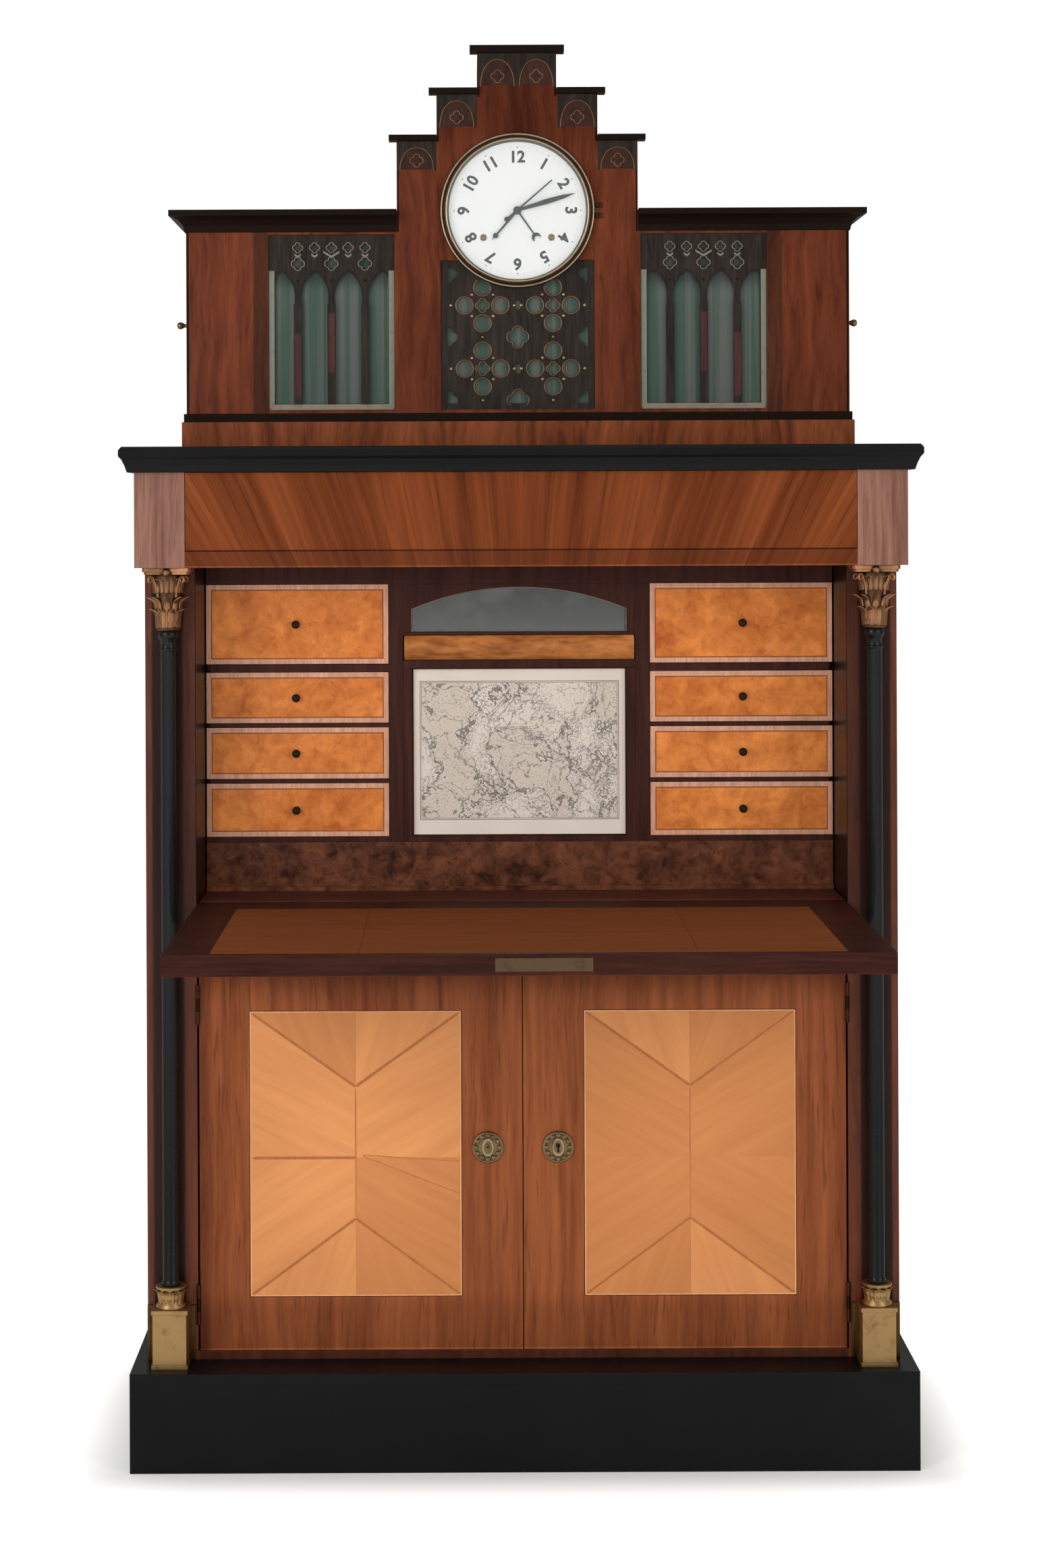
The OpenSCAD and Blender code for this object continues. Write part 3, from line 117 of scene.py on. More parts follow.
class Grain(Enum):
    """How the figure of a wood lies on a piece."""

    UPRIGHT = "upright"
    ACROSS = "across"
    DEEP = "deep"
    SHEET = "sheet"
    FAN = "fan"
    BURL = "burl"


# Shader building


class Graph:
    """Adds and joins the nodes of one shader or node group."""

    # Places of the colour sockets on a Mix node, whose names it also uses for numbers and vectors
    MIX_A, MIX_B, MIX_COLOUR = 6, 7, 2

    def __init__(self, tree: bpy.types.NodeTree) -> None:
        """Takes a tree and empties it."""
        self.tree = tree
        tree.nodes.clear()

    def node(self, kind: str, feeds: dict[str | int, object] | None = None,
             **settings: object) -> bpy.types.Node:
        """Adds a node, sets its properties and fills its inputs.

        Args:
            kind: Blender's identifier of the node.
            feeds: Sources or values by the name or place of the input.
            settings: Properties by name.

        Returns:
            The new node.
        """
        made = self.tree.nodes.new(kind)
        for name, value in settings.items():
            setattr(made, name, value)
        for key, source in (feeds or {}).items():
            self.feed(made.inputs[key], source)
        return made

    def feed(self, socket: bpy.types.NodeSocket, source: object) -> None:
        """Links a socket to a source socket, or sets its constant.

        Args:
            socket: The input to fill.
            source: An output socket, a number or a tuple.
        """
        if isinstance(source, bpy.types.NodeSocket):
            self.tree.links.new(source, socket)
        elif source is not None:
            socket.default_value = source

    def math(self, operation: str, a: object, b: object = None) -> bpy.types.NodeSocket:
        """Adds a Math node for one or two values."""
        return self.node("ShaderNodeMath", {0: a, 1: b}, operation=operation).outputs[0]

    def vector(self, operation: str, a: object, b: object = None) -> bpy.types.NodeSocket:
        """Adds a Vector Math node for one or two vectors."""
        return self.node("ShaderNodeVectorMath", {0: a, 1: b}, operation=operation).outputs[0]

    def scaled(self, vector: object, by: object) -> bpy.types.NodeSocket:
        """Scales a vector by one number."""
        return self.node("ShaderNodeVectorMath", {0: vector, "Scale": by}, operation="SCALE").outputs[0]

    def noise(self, vector: object, scale: float, detail: float = 3.0, rough: float = 0.5,
              twist: float = 0.0) -> bpy.types.NodeSocket:
        """Adds a Noise Texture that is read at a vector."""
        return self.node("ShaderNodeTexNoise", {"Vector": vector, "Scale": scale, "Detail": detail,
                                                "Roughness": rough, "Distortion": twist}).outputs["Fac"]

    def blend(self, factor: object, a: object, b: object, kind: str = "MIX") -> bpy.types.NodeSocket:
        """Mixes two colours by the share of the second."""
        feeds = {"Factor": factor, self.MIX_A: rgba(a), self.MIX_B: rgba(b)}
        return self.node("ShaderNodeMix", feeds, data_type="RGBA", blend_type=kind).outputs[self.MIX_COLOUR]

    def ramp(self, factor: object, low: float, high: float, smooth: bool = True) -> bpy.types.NodeSocket:
        """Maps a value so that low gives 0 and high gives 1, clamped and, if smooth, eased at the ends."""
        way = "SMOOTHSTEP" if smooth else "LINEAR"
        return self.node("ShaderNodeMapRange", {"Value": factor, "From Min": low, "From Max": high},
                         interpolation_type=way).outputs["Result"]

    def parts(self, vector: object) -> tuple[bpy.types.NodeSocket, ...]:
        """Splits a vector into its three values."""
        return tuple(self.node("ShaderNodeSeparateXYZ", {0: vector}).outputs)

    def joined(self, x: object, y: object, z: object) -> bpy.types.NodeSocket:
        """Makes a vector from three values."""
        return self.node("ShaderNodeCombineXYZ", {0: x, 1: y, 2: z}).outputs[0]


def rgba(colour: object) -> object:
    """Adds an alpha to a plain colour and leaves sockets alone.

    Args:
        colour: A colour tuple or a socket.

    Returns:
        Four numbers, or the socket.
    """
    if isinstance(colour, tuple) and len(colour) == 3:
        return (*colour, 1.0)
    return colour


class GroupShelf:
    """Shader groups that several finishes share, each built once."""

    def __init__(self) -> None:
        """Starts with no groups."""
        self.made: dict[str, bpy.types.NodeTree] = {}

    def use(self, graph: Graph, name: str, build: Callable[[bpy.types.NodeTree], None],
            **values: object) -> bpy.types.Node:
        """Places a group in a material and builds it on first use.

        Args:
            graph: The material's graph.
            name: The group's name.
            build: Fills a new tree.
            values: What its inputs get.

        Returns:
            The group node.
        """
        if name not in self.made:
            self.made[name] = bpy.data.node_groups.new(name, "ShaderNodeTree")
            build(self.made[name])
        return graph.node("ShaderNodeGroup", values, node_tree=self.made[name])


def sockets(tree: bpy.types.NodeTree, inputs: Sequence[tuple[str, str, object]],
            outputs: Sequence[tuple[str, str]]) -> tuple[bpy.types.Node, bpy.types.Node]:
    """Gives a group its named inputs and outputs.

    Args:
        tree: The group's tree.
        inputs: Name, socket kind and first value of each input.
        outputs: Name and socket kind of each output.

    Returns:
        The group's input and output nodes.
    """
    for name, kind, value in inputs:
        made = tree.interface.new_socket(name, in_out="INPUT", socket_type=kind)
        if value is not None:
            made.default_value = value
    for name, kind in outputs:
        tree.interface.new_socket(name, in_out="OUTPUT", socket_type=kind)
    return tree.nodes.new("NodeGroupInput"), tree.nodes.new("NodeGroupOutput")


NUMBER, VECTOR = "NodeSocketFloat", "NodeSocketVector"


def build_wood_figure(tree: bpy.types.NodeTree) -> None:
    """Streaks, broad figure and pores of sawn wood.

    Args:
        tree: The empty group.
    """
    g = Graph(tree)
    start, end = sockets(tree, [("Vector", VECTOR, None), ("Streaks", VECTOR, (300, 300, 10)),
                                ("Warp", NUMBER, 0.01), ("Seed", NUMBER, 0.0)],
                         [("Streak", NUMBER), ("Figure", NUMBER), ("Pores", NUMBER)])
    place = g.vector("ADD", start.outputs["Vector"], g.joined(start.outputs["Seed"], 0.0, 0.0))
    sway = g.node("ShaderNodeTexNoise", {"Vector": place, "Scale": 5.0, "Detail": 2.0})
    offset = g.scaled(g.vector("SUBTRACT", sway.outputs["Color"], (0.5, 0.5, 0.5)), start.outputs["Warp"])
    drawn = g.vector("MULTIPLY", g.vector("ADD", place, offset), start.outputs["Streaks"])
    g.feed(end.inputs["Streak"], g.noise(drawn, 1.0, 4.0, 0.62))
    g.feed(end.inputs["Figure"], g.noise(g.vector("MULTIPLY", drawn, (0.22, 0.22, 0.22)), 1.0, 2.0, 0.5, 0.4))
    pores = g.noise(g.vector("MULTIPLY", drawn, (3.1, 3.1, 3.1)), 1.0, 2.0, 0.5)
    g.feed(end.inputs["Pores"], g.ramp(pores, 0.56, 0.74))


def build_soft_edge(tree: bpy.types.NodeTree) -> None:
    """Rounded normal at sharp edges and a mask of the worn edge.

    Args:
        tree: The empty group.
    """
    g = Graph(tree)
    start, end = sockets(tree, [("Radius", NUMBER, 0.001)], [("Normal", VECTOR), ("Wear", NUMBER)])
    round_off = g.node("ShaderNodeBevel", {"Radius": start.outputs["Radius"]}, samples=4)
    true_face = g.node("ShaderNodeNewGeometry").outputs["Normal"]
    away = g.node("ShaderNodeVectorMath", {0: round_off.outputs[0], 1: true_face}, operation="DOT_PRODUCT")
    g.feed(end.inputs["Normal"], round_off.outputs[0])
    g.feed(end.inputs["Wear"], g.ramp(away.outputs["Value"], 0.985, 0.80))


def build_handling(tree: bpy.types.NodeTree) -> None:
    """Cloudy polish and fine scratches from long use.

    Args:
        tree: The empty group.
    """
    g = Graph(tree)
    start, end = sockets(tree, [("Vector", VECTOR, None), ("Size", NUMBER, 6.0)],
                         [("Cloud", NUMBER), ("Speck", NUMBER)])
    g.feed(end.inputs["Cloud"], g.noise(start.outputs["Vector"], start.outputs["Size"], 4.0, 0.6))
    g.feed(end.inputs["Speck"], g.ramp(g.noise(start.outputs["Vector"], 420.0, 1.0, 0.4), 0.66, 0.74))


SHELF = GroupShelf()


class Material:
    """A material in the making: its graph, its coordinates and its main shader."""

    def __init__(self, name: str, by_sheet: bool = False) -> None:
        """Starts a material.

        Args:
            name: Its name.
            by_sheet: Whether it reads the piece's UV map and not Object coordinates.
        """
        self.data = bpy.data.materials.new(name)
        self.data.use_nodes = True
        self.g = Graph(self.data.node_tree)
        self.main = self.g.node("ShaderNodeBsdfPrincipled")
        self.g.node("ShaderNodeOutputMaterial", {"Surface": self.main.outputs[0]})
        here = self.g.node("ShaderNodeTexCoord")
        self.place = here.outputs["UV" if by_sheet else "Object"]

    def set(self, **values: object) -> None:
        """Fills sockets of the main shader by their names, with underscores for spaces."""
        for key, value in values.items():
            self.g.feed(self.main.inputs[key.replace("_", " ")], rgba(value))

    def edges(self, radius: float) -> bpy.types.Node:
        """Places the group that softens edges to a radius in metres."""
        return SHELF.use(self.g, "soft_edge", build_soft_edge, Radius=radius)

    def handling(self, size: float) -> bpy.types.Node:
        """Places the group of polish clouds and scratches, with clouds of a frequency."""
        return SHELF.use(self.g, "handling", build_handling, Vector=self.place, Size=size)

    def bump(self, height: object, strength: float, depth: float,
             normal: object = None) -> bpy.types.NodeSocket:
        """Adds a Bump node, in which a height of 1 stands for a depth in metres, over another normal."""
        return self.g.node("ShaderNodeBump", {"Height": height, "Strength": strength, "Distance": depth,
                                              "Normal": normal}).outputs[0]


@dataclass(frozen=True)
class Patch:
    """A stretch of a finish in another tone, on both sides of the middle plane."""

    across: Flat
    height: Flat
    tone: Colour
    soft: float = 0.0004

    def lay(self, m: Material, colour: object) -> bpy.types.NodeSocket:
        """Tints a colour inside the stretch.

        Args:
            m: The material in the making.
            colour: Its colour so far.

        Returns:
            The tinted colour.
        """
        g = m.g
        x, _, z = g.parts(g.node("ShaderNodeTexCoord").outputs["Object"])
        inside = 1.0
        for value, (low, high) in ((g.math("ABSOLUTE", x), self.across), (z, self.height)):
            for start, way in ((low, 1), (high, -1)):
                step = g.ramp(value, start - way * self.soft, start + way * self.soft)
                inside = g.math("MULTIPLY", inside, step)
        return g.blend(inside, colour, self.tone, "MULTIPLY")


# Height of the point from which fanned grain spreads, its width a metre out, and its stretch along the rays
FAN_POINT, FAN_WIDTH, FAN_STRETCH = 0.62, 0.86, 0.8


@dataclass(frozen=True)
class WoodFinish:
    """A polished wood or veneer."""

    name: str
    dark: Colour
    light: Colour
    grain: Grain = Grain.UPRIGHT
    streak: float = 0.006
    length: float = 0.16
    warp: float = 0.02
    rough: float = 0.36
    coat: float = 0.05
    shine: float = 0.16
    edge: float = 0.0012
    seed: float = 0.0
    dim: float = 0.35
    contrast: Flat = (0.36, 0.66)
    patches: tuple[Patch, ...] = ()
    knob_colour: Colour | None = None

    def streaks(self) -> Point:
        """Gives the frequency of the streaks along each axis.

        Returns:
            Streaks per metre along X, Y and Z, or along the sheet.
        """
        fine, long = 1.0 / self.streak, 1.0 / self.length
        return {Grain.UPRIGHT: (fine, fine, long), Grain.ACROSS: (long, fine, fine),
                Grain.DEEP: (fine, long, fine), Grain.SHEET: (long, fine, fine),
                Grain.FAN: (fine, fine, long), Grain.BURL: (fine, fine, fine)}[self.grain]

    def make(self) -> bpy.types.Material:
        """Builds the material.

        Returns:
            The material.
        """
        m = Material(self.name, self.grain is Grain.SHEET)
        g = m.g
        place = m.place
        if self.grain is Grain.FAN:
            x, y, z = g.parts(place)
            reach = g.math("SUBTRACT", z, FAN_POINT)
            spread = g.math("DIVIDE", g.math("MULTIPLY", g.math("ABSOLUTE", x), FAN_WIDTH), reach)
            place = g.joined(spread, y, g.math("MULTIPLY", z, FAN_STRETCH))
        if self.grain is Grain.BURL:
            swirl = g.node("ShaderNodeTexNoise", {"Vector": place, "Scale": 32.0, "Detail": 3.0})
            place = g.vector("ADD", place, g.scaled(swirl.outputs["Color"], 0.035))
        figure = SHELF.use(g, "wood_figure", build_wood_figure, Vector=place, Streaks=self.streaks(),
                           Warp=self.warp, Seed=self.seed)
        used = m.handling(7.0)
        tone = g.math("ADD", g.math("MULTIPLY", figure.outputs["Streak"], 0.62),
                      g.math("MULTIPLY", figure.outputs["Figure"], 0.38))
        colour = g.blend(g.ramp(tone, *self.contrast, False), self.dark, self.light)
        pores = g.math("MULTIPLY", figure.outputs["Pores"], self.dim)
        colour = g.blend(pores, colour, tuple(c * 0.35 for c in self.dark))
        soft = m.edges(self.edge)
        worn = g.math("MULTIPLY", soft.outputs["Wear"], g.ramp(used.outputs["Cloud"], 0.42, 0.66))
        colour = g.blend(g.math("MULTIPLY", worn, 0.35), colour, tuple(min(1.0, c * 1.8) for c in self.light))
        rough = g.math("ADD", self.rough - 0.06, g.math("MULTIPLY", used.outputs["Cloud"], 0.14))
        if self.knob_colour is not None:
            _, deep, _ = g.parts(m.place)
            knob = g.math("LESS_THAN", deep, Y_NEST - 0.0004)
            colour = g.blend(knob, colour, self.knob_colour)
        for patch in self.patches:
            colour = patch.lay(m, colour)
        m.set(Base_Color=colour, Roughness=rough, Coat_Weight=self.coat, Coat_Roughness=0.18,
              Specular_IOR_Level=self.shine,
              Normal=m.bump(figure.outputs["Streak"], 0.25, 0.0002, soft.outputs["Normal"]))
        return m.data


@dataclass(frozen=True)
class StainFinish:
    """Black or near-black stained and polished wood."""

    name: str
    colour: Colour = (0.006, 0.006, 0.006)
    worn: Colour = (0.035, 0.024, 0.018)
    rough: float = 0.34
    edge: float = 0.0015
    shine: float = 0.14

    def make(self) -> bpy.types.Material:
        """Builds the material.

        Returns:
            The material.
        """
        m = Material(self.name)
        g = m.g
        used = m.handling(5.0)
        soft = m.edges(self.edge)
        worn = g.math("MULTIPLY", soft.outputs["Wear"], g.ramp(used.outputs["Cloud"], 0.46, 0.62))
        base = g.blend(g.math("MULTIPLY", used.outputs["Cloud"], 0.8), self.colour,
                       tuple(c * 2.4 + 0.001 for c in self.colour))
        colour = g.blend(g.math("MULTIPLY", worn, 0.6), base, self.worn)
        rough = g.math("ADD", self.rough, g.math("MULTIPLY", used.outputs["Speck"], 0.15))
        m.set(Base_Color=colour, Roughness=rough, Specular_IOR_Level=self.shine,
              Normal=m.bump(used.outputs["Cloud"], 0.1, 0.0004, soft.outputs["Normal"]))
        return m.data


@dataclass(frozen=True)
class MetalFinish:
    """Gilt, brass or steel, with painted shade in its hollows and dull tarnish clouds."""

    name: str
    colour: Colour
    # Dark colour of the recesses as painted shade, also the tone of the tarnish clouds
    hollow: Colour
    rough: float = 0.32
    edge: float = 0.0006
    brushed: bool = False
    metallic: float = 1.0
    patches: tuple[Patch, ...] = ()

    def make(self) -> bpy.types.Material:
        """Builds the material.

        Returns:
            The material.
        """
        m = Material(self.name)
        g = m.g
        used = m.handling(60.0)
        soft = m.edges(self.edge)
        # Painted shade: ambient occlusion darkens the recesses towards the hollow colour
        depth = g.node("ShaderNodeAmbientOcclusion", {"Distance": 0.006}, samples=4)
        unshaded_share = g.ramp(depth.outputs["AO"], 0.25, 0.85)
        colour = g.blend(unshaded_share, self.hollow, self.colour)
        dulled = g.math("MULTIPLY", g.ramp(used.outputs["Cloud"], 0.5, 0.75), 0.4)
        colour = g.blend(dulled, colour, self.hollow)
        for patch in self.patches:
            colour = patch.lay(m, colour)
        height = used.outputs["Cloud"]
        if self.brushed:
            height = g.noise(g.vector("MULTIPLY", m.place, (60.0, 900.0, 900.0)), 1.0, 2.0)
        rough = g.math("ADD", self.rough - 0.05, g.math("MULTIPLY", used.outputs["Cloud"], 0.2))
        m.set(Base_Color=colour, Metallic=self.metallic, Roughness=rough,
              Normal=m.bump(height, 0.12, 0.0003, soft.outputs["Normal"]))
        return m.data


@dataclass(frozen=True)
class EnamelFinish:
    """Fired enamel with a slight ripple."""

    name: str = "white_enamel"
    colour: Colour = (0.80, 0.80, 0.79)

    def make(self) -> bpy.types.Material:
        """Builds the material.

        Returns:
            The material.
        """
        m = Material(self.name)
        used = m.handling(30.0)
        tint = m.g.blend(m.g.math("MULTIPLY", used.outputs["Cloud"], 0.25), self.colour, (0.78, 0.77, 0.73))
        m.set(Base_Color=tint, Roughness=0.22, Coat_Weight=0.3,
              Normal=m.bump(used.outputs["Cloud"], 0.05, 0.0004))
        return m.data


@dataclass(frozen=True)
class ClearFinish:
    """Thin clear glass, or old silvered glass."""

    name: str
    silvered: bool = False

    def make(self) -> bpy.types.Material:
        """Builds the material.

        Returns:
            The material.
        """
        m = Material(self.name)
        used = m.handling(12.0)
        if self.silvered:
            bloom = m.g.ramp(used.outputs["Cloud"], 0.5, 0.8)
            tint = m.g.blend(bloom, (0.43, 0.435, 0.42), (0.27, 0.27, 0.26))
            rough = m.g.math("ADD", 0.12, m.g.math("MULTIPLY", bloom, 0.2))
            m.set(Base_Color=tint, Metallic=1.0, Roughness=rough)
        else:
            veil = m.g.math("ADD", 0.05, m.g.math("MULTIPLY", used.outputs["Cloud"], 0.03))
            m.set(Base_Color=(0.8, 0.86, 0.85), Roughness=0.06, Alpha=veil)
        return m.data


@dataclass(frozen=True)
class PrintFinish:
    """Toned paper with an invented engraved coast, its hatching and a ruled edge."""

    name: str = "engraved_sheet"
    low: Flat = (-0.167, 0.917)
    high: Flat = (0.167, 1.179)
    margin: float = 0.012
    foot: float = 0.013
    head: float = 0.009
    rule_gap: float = 0.0022

    def make(self) -> bpy.types.Material:
        """Builds the material.

        Returns:
            The material.
        """
        m = Material(self.name)
        g = m.g
        x, _, z = g.parts(m.place)
        sides = g.math("MINIMUM", g.math("SUBTRACT", x, self.low[0]), g.math("SUBTRACT", self.high[0], x))
        ends = g.math("MINIMUM", g.math("SUBTRACT", z, self.low[1] + self.foot),
                      g.math("SUBTRACT", self.high[1] - self.head, z))
        inside = g.math("MINIMUM", sides, ends)
        flat = g.joined(x, 0.0, z)
        land = g.noise(g.vector("ADD", flat, (4.3, 0.0, 1.7)), 9.0, 7.0, 0.62, 0.3)
        brooks = g.noise(g.vector("ADD", flat, (8.1, 0.0, 5.2)), 17.0, 5.0, 0.6, 0.5)

        def line(value: object, at: float, width: float) -> bpy.types.NodeSocket:
            """Draws a line where a value crosses a level."""
            return g.ramp(g.math("ABSOLUTE", g.math("SUBTRACT", value, at)), width, width * 0.4)

        marks = line(land, 0.50, 0.011)
        for field, at, width, ink in ((land, 0.47, 0.006, 0.8), (land, 0.44, 0.005, 0.6),
                                      (brooks, 0.5, 0.012, 0.8), (brooks, 0.58, 0.007, 0.6)):
            marks = g.math("MAXIMUM", marks, g.math("MULTIPLY", line(field, at, width), ink))
        specks = g.ramp(g.noise(flat, 330.0, 2.0, 0.6), 0.54, 0.68)
        marks = g.math("MAXIMUM", marks, g.math("MULTIPLY", specks, 0.55))
        inner = self.margin + self.rule_gap
        marks = g.math("MULTIPLY", marks, g.math("GREATER_THAN", inside, inner))
        for at, width in ((self.margin, 0.0008), (inner, 0.0005)):
            marks = g.math("MAXIMUM", marks, line(inside, at, width))
        tone = g.blend(g.noise(flat, 11.0, 4.0), (0.80, 0.70, 0.62), (0.66, 0.57, 0.48))
        wash = g.math("MULTIPLY", g.ramp(land, 0.48, 0.53), g.math("GREATER_THAN", inside, self.margin))
        tone = g.blend(g.math("MULTIPLY", wash, 0.5), tone, (0.55, 0.46, 0.37))
        m.set(Base_Color=g.blend(g.math("MULTIPLY", marks, 0.85), tone, (0.10, 0.095, 0.085)), Roughness=0.75,
              Normal=m.bump(g.noise(flat, 260.0, 2.0), 0.15, 0.0003))
        return m.data


@dataclass(frozen=True)
class SilkFinish:
    """Plain-woven green silk with soft upright folds painted as lighter ridges and a painted shadow across
    its top.
    """

    name: str = "green_silk"
    colour: Colour = (0.026, 0.060, 0.041)
    # Tone of the painted highlight on the fold ridges, and the heights of the painted shadow band
    ridge: Colour = (0.082, 0.089, 0.075)
    shade: Flat = (1.765, 1.792)

    def make(self) -> bpy.types.Material:
        """Builds the material.

        Returns:
            The material.
        """
        m = Material(self.name, True)
        g = m.g
        warp, weft = (g.node("ShaderNodeTexWave", {"Vector": m.place, "Scale": 420.0}, bands_direction=way)
                      for way in ("X", "Y"))
        weave = g.math("MULTIPLY", warp.outputs["Fac"], weft.outputs["Fac"])
        slub = g.noise(g.vector("MULTIPLY", m.place, (700.0, 18.0, 1.0)), 1.0, 3.0)
        tone = g.blend(slub, tuple(c * 0.72 for c in self.colour), tuple(c * 1.35 for c in self.colour))
        # Painted light: the folds are lighter stripes in the colour, while the sheet itself stays nearly flat
        folds = g.noise(g.vector("MULTIPLY", m.place, (74.0, 0.9, 1.0)), 1.0, 2.0, 0.5)
        tone = g.blend(g.ramp(folds, 0.40, 0.62), tone, self.ridge)
        tone = g.blend(g.math("MULTIPLY", weave, 0.25), tone, tuple(c * 0.5 for c in self.colour))
        # Painted shadow across the top of the silk, under the heads of the tracery
        tone = g.blend(g.ramp(g.parts(m.place)[1], *self.shade), tone, (0.42, 0.42, 0.42), "MULTIPLY")
        m.set(Base_Color=tone, Roughness=0.55, Sheen_Weight=0.25, Sheen_Roughness=0.4,
              Normal=m.bump(g.math("ADD", weave, slub), 0.25, 0.0002))
        return m.data


# A patch across the whole width, and the tone of the dark seam at a corner
WHOLE: Flat = (-1.0, 1.0)
SEAM: Colour = (0.12, 0.12, 0.12)


